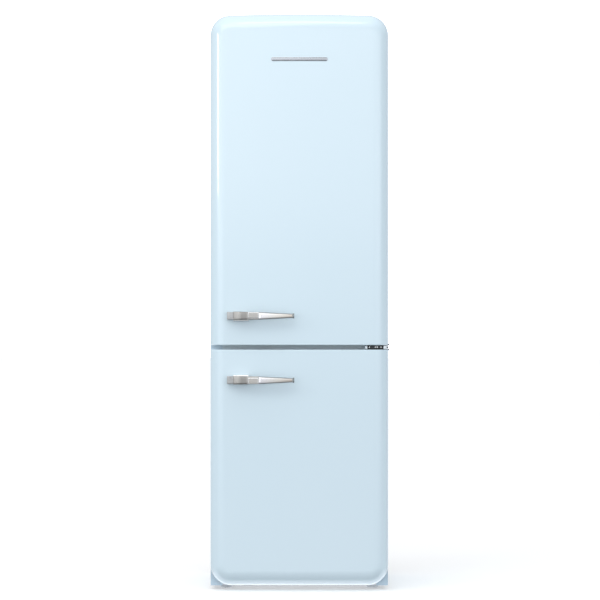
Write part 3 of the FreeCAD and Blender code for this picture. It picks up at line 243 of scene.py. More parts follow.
FINISHES = {made.name: made for made in (
    enamel("enamel", (0.648, 0.776, 0.832), (0.670, 0.790, 0.842)),
    # a deeper blue copy of the doors' enamel: painted shade on the cabinet, whose paint is the same as
    # the doors'
    enamel("body_enamel", (0.55, 0.695, 0.795), (0.57, 0.71, 0.805)),
    dark_paint(),
    plated_steel(),
    hinge_steel(),
    polished(),
    plastic("liner", (0.812, 0.838, 0.858), (0.82, 0.845, 0.865), (0.275, 0.285), 250, 0.000004),
    plastic("white_plastic", (0.76, 0.78, 0.79), (0.80, 0.82, 0.83)),
    clear_plastic("clear_plastic", (0.86, 0.93, 0.96), (0.92, 0.97, 0.98), (0.05, 0.14)),
    plastic("grey_plastic", (0.26, 0.28, 0.30), (0.30, 0.32, 0.34)),
    plastic("black_plastic", (0.014, 0.014, 0.016), (0.024, 0.024, 0.026), (0.4, 0.55)),
    foam(),
    plastic("seal", (0.56, 0.60, 0.62), (0.62, 0.66, 0.68), (0.5, 0.65), 600, 0.00005),
    plastic("black_rubber", (0.012, 0.012, 0.012), (0.022, 0.022, 0.022), (0.6, 0.75)),
    glass(),
    coil_metal(),
    brushed("copper", (0.72, 0.36, 0.22), (0.80, 0.44, 0.29), (0.24, 0.36)),
    clear_plastic("frosted", (0.90, 0.92, 0.93), (0.94, 0.95, 0.96), (0.35, 0.45)),
    plastic("bright_plastic", (0.92, 0.945, 0.95), (0.95, 0.97, 0.98), (0.18, 0.26)),
    lever_metal(),
    face_metal(),
    brushed("satin_metal", (0.44, 0.435, 0.425), (0.51, 0.505, 0.49), (0.26, 0.36)),
    brushed("inlay_metal", (0.435, 0.41, 0.38), (0.50, 0.475, 0.44), (0.36, 0.46)),
    brushed("badge_metal", (0.30, 0.305, 0.315), (0.37, 0.375, 0.385), (0.14, 0.22)),
    brushed("bright_metal", (0.66, 0.65, 0.63), (0.72, 0.71, 0.69), (0.14, 0.22)),
    brushed("cap_metal", (0.20, 0.21, 0.205), (0.25, 0.26, 0.25), (0.2, 0.3)),
)}
for part in frame["record"]["subparts"]:
    node = NODES[part["node"]]
    for slot in node.material_slots:
        slot.material = FINISHES[part["material_slot"]].material
# the cabinet takes the deeper enamel, which paints shade on it
for slot in NODES["cabinet_wrapper"].material_slots:
    slot.material = FINISHES["body_enamel"].material


# ---------------------------------------------------------------- mesh building blocks
MM = 0.001
SHARP = radians(38)          # edges that turn by more than this stay crisp
WELD = 1e-6                  # points nearer to each other than this are one
THINNEST = 1e-5              # least half thickness of a bar's section
END_STEPS = 8                # sections over a bar's rounded end
NEAR_AXIS = 0.01             # radius, in millimetres, where a turned outline starts and ends


def new_object(name, data):
    made = bpy.data.objects.new(name, data)
    bpy.context.scene.collection.objects.link(made)
    return made


def new_piece(name, points, faces, finish, slot, body="cabinet"):
    mesh = bpy.data.meshes.new(name)
    mesh.from_pydata(points, [], faces)
    mesh.validate()
    work = bmesh.new()
    work.from_mesh(mesh)
    bmesh.ops.recalc_face_normals(work, faces=work.faces)
    work.to_mesh(mesh)
    work.free()
    mesh.materials.append(FINISHES[finish].material)
    mesh.shade_smooth()
    mesh.set_sharp_from_angle(angle=SHARP)
    piece = new_object(name, mesh)
    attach(piece, body)
    return piece


def merged(shapes):
    """Several (points, faces) shapes as one."""
    points, faces = [], []
    for some_points, some_faces in shapes:
        start = len(points)
        points += some_points
        faces += [tuple(start + k for k in face) for face in some_faces]
    return points, faces


def rings_to_mesh(rings, looped=False):
    """Skins a list of closed rings that all have the same number of points. The last ring is joined
    to the first one if looped, and otherwise the two are closed by faces."""
    count, last = len(rings[0]), len(rings) - 1
    points = [point for ring in rings for point in ring]
    faces = []
    for row in range(len(rings) if looped else last):
        start, after_start = row * count, (row + 1) % len(rings) * count
        for k in range(count):
            after = (k + 1) % count
            faces.append((start + k, start + after, after_start + after, after_start + k))
    if not looped:
        faces.append(tuple(range(count)))
        faces.append(tuple(last * count + k for k in range(count)))
    return points, faces


def in_mm(outline):
    """An outline given in millimetres, in metres."""
    return [(radius * MM, height * MM) for radius, height in outline]


def circle(steps):
    """The cosine and the sine of each step round a circle."""
    angles = [2 * pi * k / steps for k in range(steps)]
    return [(cos(angle), sin(angle)) for angle in angles]


def lathe(outline, place, steps=48, looped=False):
    """Turns an outline of (radius, height) points; place maps (across, up, height) to the frame."""
    turns = circle(steps)
    rings = [[place(radius * c, radius * s, height) for c, s in turns] for radius, height in outline]
    return rings_to_mesh(rings, looped)


def fluted(points, centre, count, share, beyond, low, high):
    """Presses flutes into the points that lie beyond a radius, between two heights, and then
    moves all the points from the origin to their centre."""
    moved = []
    for x, y, z in points:
        grip = 1.0
        if hypot(x, y) > beyond and low < z < high:
            grip = 1 - share * (0.5 + 0.5 * cos(count * atan2(y, x)))
        moved.append((centre[0] + x * grip, centre[1] + y * grip, centre[2] + z))
    return moved


def squared(share, power):
    """A cosine or sine pushed outwards, for a soft-cornered square in place of a circle."""
    return copysign(abs(share) ** power, share)


def rounded_loop(half_width, low, high, radius, steps=10):
    """(x, z, outward x, outward z) round a rounded rectangle that faces Y."""
    spots = []
    side = half_width - radius
    corners = ((side, high - radius), (-side, high - radius), (-side, low + radius), (side, low + radius))
    for quarter, (x, z) in enumerate(corners):
        for k in range(steps + 1):
            angle = pi / 2 * (quarter + k / steps)
            out = (cos(angle), sin(angle))
            spots.append((x + radius * out[0], z + radius * out[1], *out))
    return spots


def sweep_loop(loop, outline):
    """Runs a closed outline of (outward, y) points round a loop."""
    rings = [[(x + out_x * u, y, z + out_z * u) for u, y in outline] for x, z, out_x, out_z in loop]
    return rings_to_mesh(rings, looped=True)


def copper_pipe(name, route, radius):
    """A rigid pipe, bent along its points."""
    curve = bpy.data.curves.new(name, "CURVE")
    curve.dimensions = "3D"
    curve.bevel_depth = radius
    curve.bevel_resolution = 5
    curve.use_fill_caps = True
    spline = curve.splines.new("NURBS")
    spline.points.add(len(route) - 1)
    for point, spot in zip(spline.points, route):
        point.co = (*spot, 1)
    spline.order_u = 3
    spline.use_endpoint_u = True
    curve.materials.append(FINISHES["copper"].material)
    piece = new_object(name, curve)
    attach(piece, "cabinet")


def solids_of(node):
    """The box of each separate solid of a CAD node, as (low, high) corners."""
    work = bmesh.new()
    work.from_mesh(NODES[node].data)
    bmesh.ops.remove_doubles(work, verts=work.verts, dist=WELD)
    found = []
    unseen = set(work.verts)
    while unseen:
        group = {unseen.pop()}
        waiting = list(group)
        while waiting:
            vertex = waiting.pop()
            for edge in vertex.link_edges:
                other = edge.other_vert(vertex)
                if other in unseen:
                    unseen.discard(other)
                    group.add(other)
                    waiting.append(other)
        spots = [vertex.co for vertex in group]
        found.append((Vector([min(spot[k] for spot in spots) for k in range(3)]),
                      Vector([max(spot[k] for spot in spots) for k in range(3)])))
    work.free()
    return sorted(found, key=lambda pair: tuple(pair[0]))


def ease(value):
    """0 below 0, 1 above 1, and a smooth step between them."""
    value = min(1.0, max(0.0, value))
    return value * value * (3 - 2 * value)


def soft_bar(x0, x1, front, rear, low, high, power, end_radius, steps, around=48):
    """A bar along X whose soft-cornered section changes along it. front, rear, low and high are
    functions of x; a higher power makes squarer corners, and end_radius rounds the ends over."""
    rings = []
    places = [x0 + (x1 - x0) * index / steps for index in range(steps + 1)]
    curve = [end_radius * (1 - cos(pi / 2 * k / END_STEPS)) for k in range(END_STEPS + 1)]
    inner = [x for x in places if x0 + end_radius < x < x1 - end_radius]
    for x in [x0 + e for e in curve] + inner + [x1 - e for e in reversed(curve)]:
        to_end = min(x - x0, x1 - x)
        shrink = 0.0
        if to_end < end_radius:
            shrink = end_radius - sqrt(max(0.0, end_radius ** 2 - (end_radius - to_end) ** 2))
        y_mid = (front(x) + rear(x)) / 2
        z_mid = (low(x) + high(x)) / 2
        deep = max(THINNEST, (rear(x) - front(x)) / 2 - shrink)
        tall = max(THINNEST, (high(x) - low(x)) / 2 - shrink)
        rings.append([(x, y_mid - deep * squared(c, 2 / power), z_mid + tall * squared(s, 2 / power))
                      for c, s in circle(around)])
    return rings_to_mesh(rings)


def soft_block(along, deep, tall, **shape):
    """A soft bar with straight faces, from pairs of limits along X, Y and Z."""
    faces = [lambda x, level=level: level for level in (*deep, *tall)]
    return soft_bar(*along, *faces, **shape)


def about(middle, half):
    """A pair of limits, equally far from their middle."""
    return middle - half, middle + half


# ---------------------------------------------------------------- handles
def handle(door, lug_side):
    """A cast lever on a ribbed foot: hub, swept neck, satin inlay in a bright frame, long polished
    taper and a dark end cap. lug_side is +1 where the foot's lug is above the lever."""
    body = door + "_door"
    grip_low, grip_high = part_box(door + "_handle_grip")
    foot_low, foot_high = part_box(door + "_handle_base")
    in_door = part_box(door + "_door_skin")[0].y + 5 * MM
    level = (grip_low.z + grip_high.z) / 2
    front, seat = grip_low.y, grip_high.y

    # places along the lever, from the hub to the tip
    hub_start, tip = grip_low.x, grip_high.x
    neck_start = hub_start + 8 * MM
    panel_start = hub_start + 49 * MM
    neck_end = panel_start - 21 * MM
    panel_end = panel_start + 35 * MM
    shoulder_end = panel_end + 11 * MM
    cap_start = tip - 5 * MM

    # depths of the lever
    hub_front = front + 10.5 * MM
    panel_front = front + 2.6 * MM
    neck_step = 1.4 * MM
    taper_front = front + 0.6 * MM
    tip_fall = 8 * MM
    grip_thickness = 12 * MM
    rear_blend = 20 * MM

    def lever_front(x):
        if x < panel_start:
            climb = ease((x - neck_start) / (neck_end - neck_start))
            return hub_front + (panel_front + neck_step - hub_front) * climb
        if x < panel_end:
            return panel_front
        if x < shoulder_end:
            turn = (x - panel_end) / (shoulder_end - panel_end)
            return taper_front + (panel_front - front) * (1 - sin(turn * pi / 2))
        return taper_front + tip_fall * ((x - shoulder_end) / (tip - shoulder_end)) ** 2

    def lever_rear(x):
        if x <= panel_start:
            return seat
        level_rear = lever_front(x) + grip_thickness
        return seat + (level_rear - seat) * ease((x - panel_start) / rear_blend)

    hub_half, panel_loss, tip_loss = 14.3, 1.5, 6.0      # half heights of the lever, in millimetres

    def half_height(x):
        wide = hub_half - panel_loss * ease((x - hub_start) / (panel_end - hub_start))
        return (wide - tip_loss * max(0.0, (x - panel_end) / (tip - panel_end))) * MM

    lever = soft_bar(hub_start, cap_start + MM, lever_front, lever_rear,
                     lambda x: level - half_height(x), lambda x: level + half_height(x),
                     power=6.5, end_radius=1.2 * MM, steps=150, around=72)
    # the lever's finish paints shade across its hub, its neck and the taper's borders
    lever = new_piece(door + "_handle_lever", *lever, "lever_metal", "polished", body)
    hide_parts(door + "_handle_grip")

    # the polished face along the taper, a little proud, with a border of the lever round it; its finish
    # paints a highlight at the start that fades towards the tip
    face_border, face_gap = 2.7 * MM, 1.5 * MM
    face_proud, face_sunk = 0.5 * MM, 2 * MM
    face = soft_bar(panel_end + face_gap, cap_start - face_gap,
                    lambda x: lever_front(x) - face_proud, lambda x: lever_front(x) + face_sunk,
                    lambda x: level - half_height(x) + face_border,
                    lambda x: level + half_height(x) - face_border,
                    power=7, end_radius=0.8 * MM, steps=80)
    new_piece(door + "_handle_face", *face, "face_metal", "polished", body)
    cap_half = 8.4 * MM
    cap = soft_block((cap_start, tip), (front + 7.2 * MM, front + 19 * MM),
                     about(level, cap_half), power=5, end_radius=1.4 * MM, steps=10)
    new_piece(door + "_handle_cap", *cap, "cap_metal", "polished", body)

    # satin inlay in its frame, set towards the side away from the lug
    inlay_level = level - lug_side * 2.6 * MM
    frame_half, inlay_half = 9.6 * MM, 8.1 * MM
    bezel = soft_block((panel_start + 0.5 * MM, panel_end + 0.5 * MM),
                       (panel_front - 0.7 * MM, panel_front + 2 * MM),
                       about(inlay_level, frame_half), power=9, end_radius=0.6 * MM, steps=8)
    new_piece(door + "_handle_bezel", *bezel, "bright_metal", "polished", body)
    inlay = soft_block((panel_start + 2 * MM, panel_end - 1 * MM),
                       (panel_front - 1.1 * MM, panel_front + 1 * MM),
                       about(inlay_level, inlay_half), power=12, end_radius=0.3 * MM, steps=8)
    new_piece(door + "_handle_inlay", *inlay, "inlay_metal", "polished", body)

    # ribbed foot and lug, both let into the door
    plate_end, plate_half = hub_start + 48 * MM, 13 * MM
    rib_pitch, rib_depth = 4.4 * MM, 0.9 * MM

    def foot_front(x):
        return seat + rib_depth * (1 - abs(sin(pi * (x - foot_low.x) / rib_pitch)))

    foot = soft_bar(foot_low.x, plate_end, foot_front, lambda x: in_door,
                    lambda x: level - plate_half, lambda x: level + plate_half,
                    power=14, end_radius=1.6 * MM, steps=160, around=64)
    foot = new_piece(door + "_handle_foot", *foot, "satin_metal", "polished", body)
    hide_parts(door + "_handle_base")
    lug_low = level + (9 if lug_side > 0 else -17.5) * MM
    lug_height = 8.5 * MM
    lug = soft_block((foot_low.x + 21 * MM, foot_high.x), (foot_low.y, in_door),
                     (lug_low, lug_low + lug_height), power=6, end_radius=2.2 * MM, steps=40)
    new_piece(door + "_handle_lug", *lug, "polished", "polished", body)


handle("fridge", -1)
handle("freezer", 1)


def badge():
    """The plain bar ornament: a shallow convex bar with round ends."""
    low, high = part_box("front_badge")
    end_radius = (high.z - low.z) / 2 - 0.2 * MM
    bar = soft_block((low.x, high.x), (low.y, high.y), (low.z, high.z),
                     power=2.6, end_radius=end_radius, steps=80)
    piece = new_piece("front_badge_bar", *bar, "badge_metal", "polished", "fridge_door")
    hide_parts("front_badge")


badge()


# ---------------------------------------------------------------- seals and hinges
def gasket(door):
    """Magnetic seal: a foot, a folded bellows and the magnet's flat head."""
    low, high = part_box(door + "_door_gasket")
    base, face = low.y, high.y
    corner = 30 * MM
    full_depth = 9.6                       # of the outline below, in millimetres
    outline = [(-3, 0), (-13, 0), (-13.6, 1.6), (-11.4, 2.9), (-14.6, 4.2), (-15.7, 6.4), (-15.4, 8.6),
               (-14.2, 9.6), (-2, 9.6), (-0.5, 8.8), (0, 7), (-0.9, 4.9), (-4.2, 3.4), (-2.2, 1.9)]
    scale = (face - base) / full_depth
    outline = [(u * MM, base + v * scale) for u, v in outline]
    ring = sweep_loop(rounded_loop(high.x, low.z, high.z, corner), outline)
    piece = new_piece(door + "_gasket_bellows", *ring, "seal", "seal", door + "_door")
    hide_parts(door + "_door_gasket")


gasket("fridge")
gasket("freezer")


def screw(at, head_radius, head_height, shank_radius, length):
    """Pan head with a cross recess, its face towards -Y, and its threaded shank."""
    steps, rounds, threads = 48, 12, 13
    dome_fall, arm_half, arm_length, recess = 0.75, 0.16, 0.62, 0.55       # shares of the head
    core = 0.8                                                             # share of the shank
    rings = []
    for row in range(rounds + 1):
        share = row / rounds
        ring = []
        for c, s in circle(steps):
            x, z = share * head_radius * c, share * head_radius * s
            depth = head_height * (1 - dome_fall * share ** 4)
            near, far = min(abs(x), abs(z)), max(abs(x), abs(z))
            in_arm = near < arm_half * head_radius and far < arm_length * head_radius
            sink = recess * head_height if in_arm else 0.0
            ring.append((at.x + x, at.y - depth + sink, at.z + z))
        rings.append(ring)
    under = [(head_radius, 0), (shank_radius, 0)]
    pitch = length / (threads + 1)
    for turn in range(threads):
        under.append((shank_radius, (turn + 0.5) * pitch))
        under.append((shank_radius * core, (turn + 1) * pitch))
    for radius, deep in under:
        rings.append([(at.x + radius * c, at.y + deep, at.z + radius * s) for c, s in circle(steps)])
    return rings_to_mesh(rings)


def hinge_screws():
    """The hinges' screws, each in its CAD screw's place."""
    head_share, shank_radius = 0.6, 2 * MM
    shapes = []
    for low, high in solids_of("hinge_screws"):
        radius = (high.x - low.x) / 2
        head_height = radius * head_share
        at = Vector(((low.x + high.x) / 2, low.y + head_height, (low.z + high.z) / 2))
        shapes.append(screw(at, radius, head_height, shank_radius, high.y - at.y))
    piece = new_piece("hinge_screws_recessed", *merged(shapes), "plated_steel", "plated_steel")
    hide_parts("hinge_screws")


hinge_screws()


def hinge_cover():
    """White covers round the end of the middle hinge and over and under its plate, the pin's dark
    cap, the spacer beside the plate, and the rivets along the plate's front edge."""
    plate_low, plate_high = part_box("middle_hinge")
    washer_low, washer_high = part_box("hinge_washers")
    middle = (washer_low.z + washer_high.z) / 2
    pivot = Vector(((washer_low.x + washer_high.x) / 2, (washer_low.y + washer_high.y) / 2, middle))
    half_slot = washer_high.z - middle
    clearance, plate_half = 0.4 * MM, 2.5 * MM
    side = plate_high.x + 0.8 * MM
    cover_reach, cover_step = 33 * MM, 17 * MM
    step_start, step_length = 7 * MM, 15 * MM

    def cover_front(x):
        return pivot.y - cover_reach + cover_step * ease((x - pivot.x + step_start) / step_length)

    shapes = [soft_bar(pivot.x - 8.6 * MM, side, cover_front, lambda x: plate_low.y - clearance,
                       lambda x: middle - half_slot + clearance,
                       lambda x: middle + half_slot - clearance, power=8, end_radius=1.0 * MM, steps=24)]
    cover_start = pivot.x - 9 * MM
    for z0, z1 in ((plate_half, half_slot - clearance), (-half_slot + clearance, -plate_half)):
        shapes.append(soft_block((cover_start, side), (plate_low.y - 2 * MM, pivot.y - 8 * MM),
                                 (middle + z0, middle + z1), power=6, end_radius=1.0 * MM, steps=24))
    new_piece("hinge_cover", *merged(shapes), "bright_plastic", "white_plastic")

    cap_x, cap_y, cap_squash = side - 3.6 * MM, pivot.y - 21 * MM, 0.9
    cap_outline = [(NEAR_AXIS, 0), (2.2, 0.1), (3.0, 0.8), (3.2, 3), (3.2, 8), (NEAR_AXIS, 8)]
    cap = lathe(in_mm(cap_outline), lambda a, b, h: (cap_x + a, cap_y + h, middle + cap_squash * b))
    new_piece("hinge_pin_cap", *cap, "black_plastic", "hinge_steel")

    spacer_half = 5.6 * MM
    spacer = soft_block((plate_low.x - 8.5 * MM, plate_low.x - 1.5 * MM),
                        (pivot.y - 46 * MM, pivot.y + 18.5 * MM),
                        about(middle, spacer_half), power=8, end_radius=0.8 * MM, steps=12)
    new_piece("hinge_spacer", *spacer, "bright_plastic", "white_plastic")

    rivets = []
    rivet_y = plate_low.y - 1.2 * MM
    rivet_outline = in_mm([(NEAR_AXIS, 0), (1.9, 0.05), (2.3, 0.5), (2.3, 3), (NEAR_AXIS, 3)])
    for share in (0.12, 0.5, 0.62, 0.86):
        rivet_x = plate_low.x + share * (cover_start - plate_low.x)
        rivets.append(lathe(rivet_outline, lambda a, b, h: (rivet_x + a, rivet_y + h, middle + b), 24))
    new_piece("hinge_rivets", *merged(rivets), "bright_metal", "hinge_steel")


hinge_cover()


def frame_gussets():
    """Corner plates that close the front frame between the centre rail and the liners' round corners."""
    corner, thickness, corner_steps = 30 * MM, 0.8 * MM, 12
    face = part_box("cabinet_wrapper")[0].y
    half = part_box("fridge_liner")[1].x
    shapes = []
    for level, way in ((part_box("fridge_liner")[0].z, 1), (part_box("freezer_liner")[1].z, -1)):
        for side in (-1, 1):
            outline = [(side * half, level)]
            for k in range(corner_steps + 1):
                angle = pi / 2 * k / corner_steps
                outline.append((side * (half - corner + corner * sin(angle)),
                                level + way * (corner - corner * cos(angle))))
            rings = [[(x, y, z) for x, z in outline] for y in (face, face + thickness)]
            shapes.append(rings_to_mesh(rings))
    # the gussets take the cabinet's deeper enamel, which paints shade on them
    new_piece("frame_gussets", *merged(shapes), "body_enamel", "enamel")


frame_gussets()


# ---------------------------------------------------------------- the back and the compressor bay
def panel_beads():
    """Shallow beads pressed across the back panel, and the screws round its edge."""
    low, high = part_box("back_panel")
    bead_count, bead_half = 9, 13 * MM
    first_bead, bead_span = low.z + 90 * MM, high.z - low.z - 200 * MM
    side_gap = 45 * MM
    beads = []
    for index in range(bead_count):
        level = first_bead + index * bead_span / (bead_count - 1)
        beads.append(soft_block((low.x + side_gap, high.x - side_gap),
                                (high.y - 0.6 * MM, high.y + 2.2 * MM), about(level, bead_half),
                                power=2, end_radius=1.2 * MM, steps=24))
    new_piece("back_panel_beads", *merged(beads), "plated_steel", "plated_steel")

    side_screws, side_inset = 7, 12 * MM
    first_screw, screw_span = low.z + 30 * MM, high.z - low.z - 150 * MM
    spots = [(side * (high.x - side_inset), first_screw + index * screw_span / (side_screws - 1))
             for side in (-1, 1) for index in range(side_screws)]
    spots += [(x * MM, low.z + side_inset) for x in (-200, -70, 70, 200)]
    outline = in_mm([(NEAR_AXIS, 3.4), (2.2, 3.4), (2.6, 3.0), (3.4, 2.9), (3.9, 1.0), (5.4, 0.9),
                     (5.8, 0.0), (NEAR_AXIS, -0.5)])
    heads = [lathe(outline, lambda a, b, h: (x + a, high.y + h, z + b), 24) for x, z in spots]
    new_piece("back_panel_screws", *merged(heads), "plated_steel", "plated_steel")


panel_beads()


def compressor():
    """Welded steel pot with its seam and base plate, the relay box with its lid and clip, and the
    copper pipes."""
    low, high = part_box("compressor")
    pot_low, pot_high = low.z, high.z - 22 * MM
    pot_right = high.x - 46 * MM
    centre_x = (low.x + 10 * MM + pot_right) / 2
    centre_y = (low.y + high.y) / 2
    half_x = pot_right - centre_x
    half_y = (high.y - low.y) / 2
    seam = pot_low + 0.52 * (pot_high - pot_low)
    body_share, squareness = 0.955, 0.72
    round_power, base_depth, base_loss = 2.6, 34 * MM, 0.55
    dome_depth, dome_loss = 46 * MM, 0.82
    seam_low, seam_high = 3 * MM, 2.6 * MM
    lower_rows, upper_rows, around = 14, 16, 72

    def pot_ring(z, share, flange=0.0):
        wide, deep = half_x * share + flange, half_y * share + flange
        return [(centre_x + wide * squared(c, squareness), centre_y + deep * squared(s, squareness), z)
                for c, s in circle(around)]

    def rounding(height, depth, loss):
        """The share of the pot's width left at a height above its base or below its dome's top."""
        return body_share * (1 - (1 - min(1, height / depth)) ** round_power * loss)

    rings = []
    for row in range(lower_rows + 1):
        z = pot_low + (seam - seam_low - pot_low) * row / lower_rows
        rings.append(pot_ring(z, rounding(z - pot_low, base_depth, base_loss)))
    for z, flange in ((-3, 1.6), (-2.4, 2.6), (0, 2.9), (0.6, 1.5), (2.6, 1.2)):
        rings.append(pot_ring(seam + z * MM, body_share, flange * MM))
    for row in range(1, upper_rows + 1):
        z = seam + seam_high + (pot_high - seam - seam_high) * row / upper_rows
        rings.append(pot_ring(z, rounding(pot_high - z, dome_depth, dome_loss)))
    plate_half = 55 * MM
    plate = soft_block((low.x, centre_x + (centre_x - low.x)), about(centre_y, plate_half),
                       (pot_low + 2 * MM, pot_low + 5 * MM), power=12, end_radius=1.2 * MM, steps=20)
    pot = new_piece("compressor_pot", *merged([rings_to_mesh(rings), plate]), "dark_paint", "dark_paint")
    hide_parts("compressor")

    relay_half, lid_half = 28 * MM, 30 * MM
    relay = [soft_block((pot_right - 8 * MM, high.x - 4 * MM), about(centre_y, relay_half),
                        (pot_low + 42 * MM, pot_low + 103 * MM), power=8, end_radius=2 * MM, steps=24),
             soft_block((high.x - 16 * MM, high.x), about(centre_y, lid_half),
                        (pot_low + 40 * MM, pot_low + 105 * MM), power=8, end_radius=3 * MM, steps=12)]
    new_piece("relay_box", *merged(relay), "black_plastic", "dark_paint")
    wire = 0.9 * MM
    clip_loop = rounded_loop(34 * MM, pot_low + 36 * MM, pot_low + 109 * MM, 6 * MM, 5)
    clip_points, clip_faces = sweep_loop(clip_loop, [(0, -MM), (wire, 0), (0, MM), (-wire, 0)])
    clip_x = high.x - 18 * MM
    clip_points = [(clip_x + y, centre_y + x, z) for x, y, z in clip_points]
    new_piece("relay_clip", clip_points, clip_faces, "plated_steel", "plated_steel")

    # copper pipes: discharge to the condenser's foot, suction up into the cabinet, process stub
    tube_low, tube_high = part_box("condenser")
    panel_low, panel_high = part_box("back_panel")
    foot_z = tube_low.z + 12 * MM
    roof, back = panel_low.z, panel_high.y
    pipe_y = tube_high.y - 3 * MM
    left = centre_x - 70 * MM
    start = centre_y - 20 * MM
    dome = pot_high - 24 * MM

    def near(x, y, z, *offsets):
        """Points given in millimetres from a place."""
        return [(x + a * MM, y + b * MM, z + c * MM) for a, b, c in offsets]

    discharge = near(left, start, dome, (0, 0, 0), (0, 0, 30))
    discharge += near(left, start, roof, (0, 0, -12), (-30, 40, -12))
    discharge += near(left, back, roof, (-70, -10, -16), (-88, 16, -14))
    discharge += near(left, pipe_y, roof, (-92, 0, 20))
    discharge += near(left, pipe_y, foot_z, (-92, 0, -40), (-112, 0, 0))
    suction = near(left, start, dome, (20, 0, 0), (20, 0, 24))
    suction += near(left, start, roof, (20, 0, -16), (26, 62, -16), (30, 96, -14), (30, 98, -4))
    process = near(left, start, dome, (6, 26, -6), (4, 44, 14), (3, 60, 18), (2, 80, 18))
    for name, route, radius in (("discharge_pipe", discharge, 2.6), ("suction_pipe", suction, 4),
                                ("process_tube", process, 3)):
        copper_pipe(name, route, radius * MM)


compressor()


def roller(side_name):
    """Nylon wheel with a tread, a dished web and a hub, bored for its axle."""
    body = "roller_" + side_name
    low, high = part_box(body)
    centre = (low + high) / 2
    radius = (high.z - low.z) / 2
    half = (high.x - low.x) / 2
    bore, hub, tread = 4.05 * MM, 9 * MM, 15 * MM
    outer = [(bore, -half), (hub - 1 * MM, -half), (hub, -half + 1 * MM), (hub, -half + 3 * MM),
             (13.4 * MM, -half + 3.4 * MM), (14.2 * MM, -half + 0.6 * MM), (tread, -half),
             (radius - 1.5 * MM, -half), (radius - 0.3 * MM, -half + 0.6 * MM), (radius, -half + 2 * MM)]
    middle = [(radius - 0.5 * MM, -0.4 * half), (radius - 0.5 * MM, 0.4 * half)]
    outline = outer + middle + [(r, -h) for r, h in reversed(outer)]
    wheel = lathe(outline, lambda a, b, h: (centre.x + h, centre.y + a, centre.z + b), 64, looped=True)
    piece = new_piece(body + "_wheel", *wheel, "grey_plastic", "black_plastic", body)
    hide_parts(body)


def foot(side_name):
    """Levelling foot: a pad ribbed round its edge, and a threaded stud."""
    body = "foot_" + side_name
    low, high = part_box(body)
    centre = (low + high) / 2
    pad = (high.x - low.x) / 2
    rib_count, rib_share = 32, 0.035
    outline = [(NEAR_AXIS * MM, 0), (pad - 4 * MM, 0), (pad - 3 * MM, 0.8 * MM), (pad - 2 * MM, 0),
               (pad - 1 * MM, 0), (pad, 1 * MM), (pad, 4.6 * MM), (pad - 0.8 * MM, 5.4 * MM),
               (pad - 1.4 * MM, 5.6 * MM), (pad - 1.6 * MM, 7 * MM), (pad - 6 * MM, 8.4 * MM),
               (10 * MM, 9 * MM), (NEAR_AXIS * MM, 9 * MM)]
    points, faces = lathe(outline, lambda a, b, h: (a, b, h), 96)
    rim, rib_low, rib_high = pad - 1.2 * MM, 0.5 * MM, 5 * MM
    ribbed = fluted(points, (centre.x, centre.y, 0.0), rib_count, rib_share, rim, rib_low, rib_high)
    piece = new_piece(body + "_pad", ribbed, faces, "white_plastic", "white_plastic", body)
    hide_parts(body)

    turns, stud_low = 24, 8.6 * MM
    pitch = (high.z - 9 * MM) / turns
    stud = [(NEAR_AXIS * MM, stud_low)]
    for turn in range(turns):
        stud.append((4.2 * MM, stud_low + turn * pitch))
        stud.append((5.0 * MM, stud_low + (turn + 0.5) * pitch))
    stud += [(3.4 * MM, high.z - 0.2 * MM), (NEAR_AXIS * MM, high.z)]
    thread = lathe(stud, lambda a, b, h: (centre.x + a, centre.y + b, h), 32)
    new_piece(body + "_stud", *thread, "plated_steel", "plated_steel", body)


for name in ("left", "right"):
    roller(name)
    foot(name)


# ---------------------------------------------------------------- inside
def knob():
    """Fluted temperature knob with a raised pointer bar, its mark, and the ticks round it."""
    low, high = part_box("temperature_knob")
    centre = (low + high) / 2
    radius = (high.x - low.x) / 2
    dial_high = 17.5                       # millimetres above the knob's lowest point
    flute_count, flute_share, flute_ring, flute_high = 24, 0.045, 16 * MM, 16.5 * MM
    outline = [(NEAR_AXIS, 5.0), (8, 5.0), (13, 5.2), (16.2, 6.0), (17.4, 7.6), (17.8, 10), (18.2, 15),
               (radius / MM, 17.2), (radius / MM, dial_high), (NEAR_AXIS, dial_high)]
    points, faces = lathe(in_mm(outline), lambda a, b, h: (a, b, h), 144)
    place = (centre.x, centre.y, low.z)
    dial = fluted(points, place, flute_count, flute_share, flute_ring, 0.0, flute_high)
    bar_half, mark_half = 2.6 * MM, 0.8 * MM
    bar = soft_block(about(centre.x, bar_half), (centre.y - 17.6 * MM, centre.y + 14 * MM),
                     (low.z, low.z + 6 * MM), power=5, end_radius=1.1 * MM, steps=10)
    tall = high.z - low.z
    shaft = lathe([(NEAR_AXIS * MM, 17 * MM), (5 * MM, 17 * MM), (5 * MM, tall), (NEAR_AXIS * MM, tall)],
                  lambda a, b, h: (centre.x + a, centre.y + b, low.z + h))
    piece = new_piece("temperature_knob_dial", *merged([(dial, faces), bar, shaft]), "white_plastic",
                      "white_plastic", "temperature_knob")
    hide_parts("temperature_knob")
    mark = soft_block(about(centre.x, mark_half), (centre.y - 16 * MM, centre.y - 7 * MM),
                      (low.z - 0.05 * MM, low.z + 1 * MM), power=4, end_radius=0.3 * MM, steps=6)
    new_piece("temperature_knob_mark", *mark, "grey_plastic", "white_plastic", "temperature_knob")

    # the ticks grow round the dial, 45 degrees apart, with the gap behind it
    tick_count, tick_turn, first_tick = 7, 45, -90 - 135
    tick_ring, tick_low = radius + 5 * MM, low.z + dial_high * MM - 0.4 * MM
    ticks = []
    for index in range(tick_count):
        angle = radians(first_tick + tick_turn * index)
        x = centre.x + tick_ring * cos(angle)
        y = centre.y + tick_ring * sin(angle)
        size = 1.0 + 0.25 * index
        tick_outline = in_mm([(NEAR_AXIS, 0), (size, 0), (size, 0.9), (NEAR_AXIS, 0.9)])
        ticks.append(lathe(tick_outline, lambda a, b, h: (x + a, y + b, tick_low + h), 20))
    new_piece("temperature_ticks", *merged(ticks), "grey_plastic", "grey_plastic")


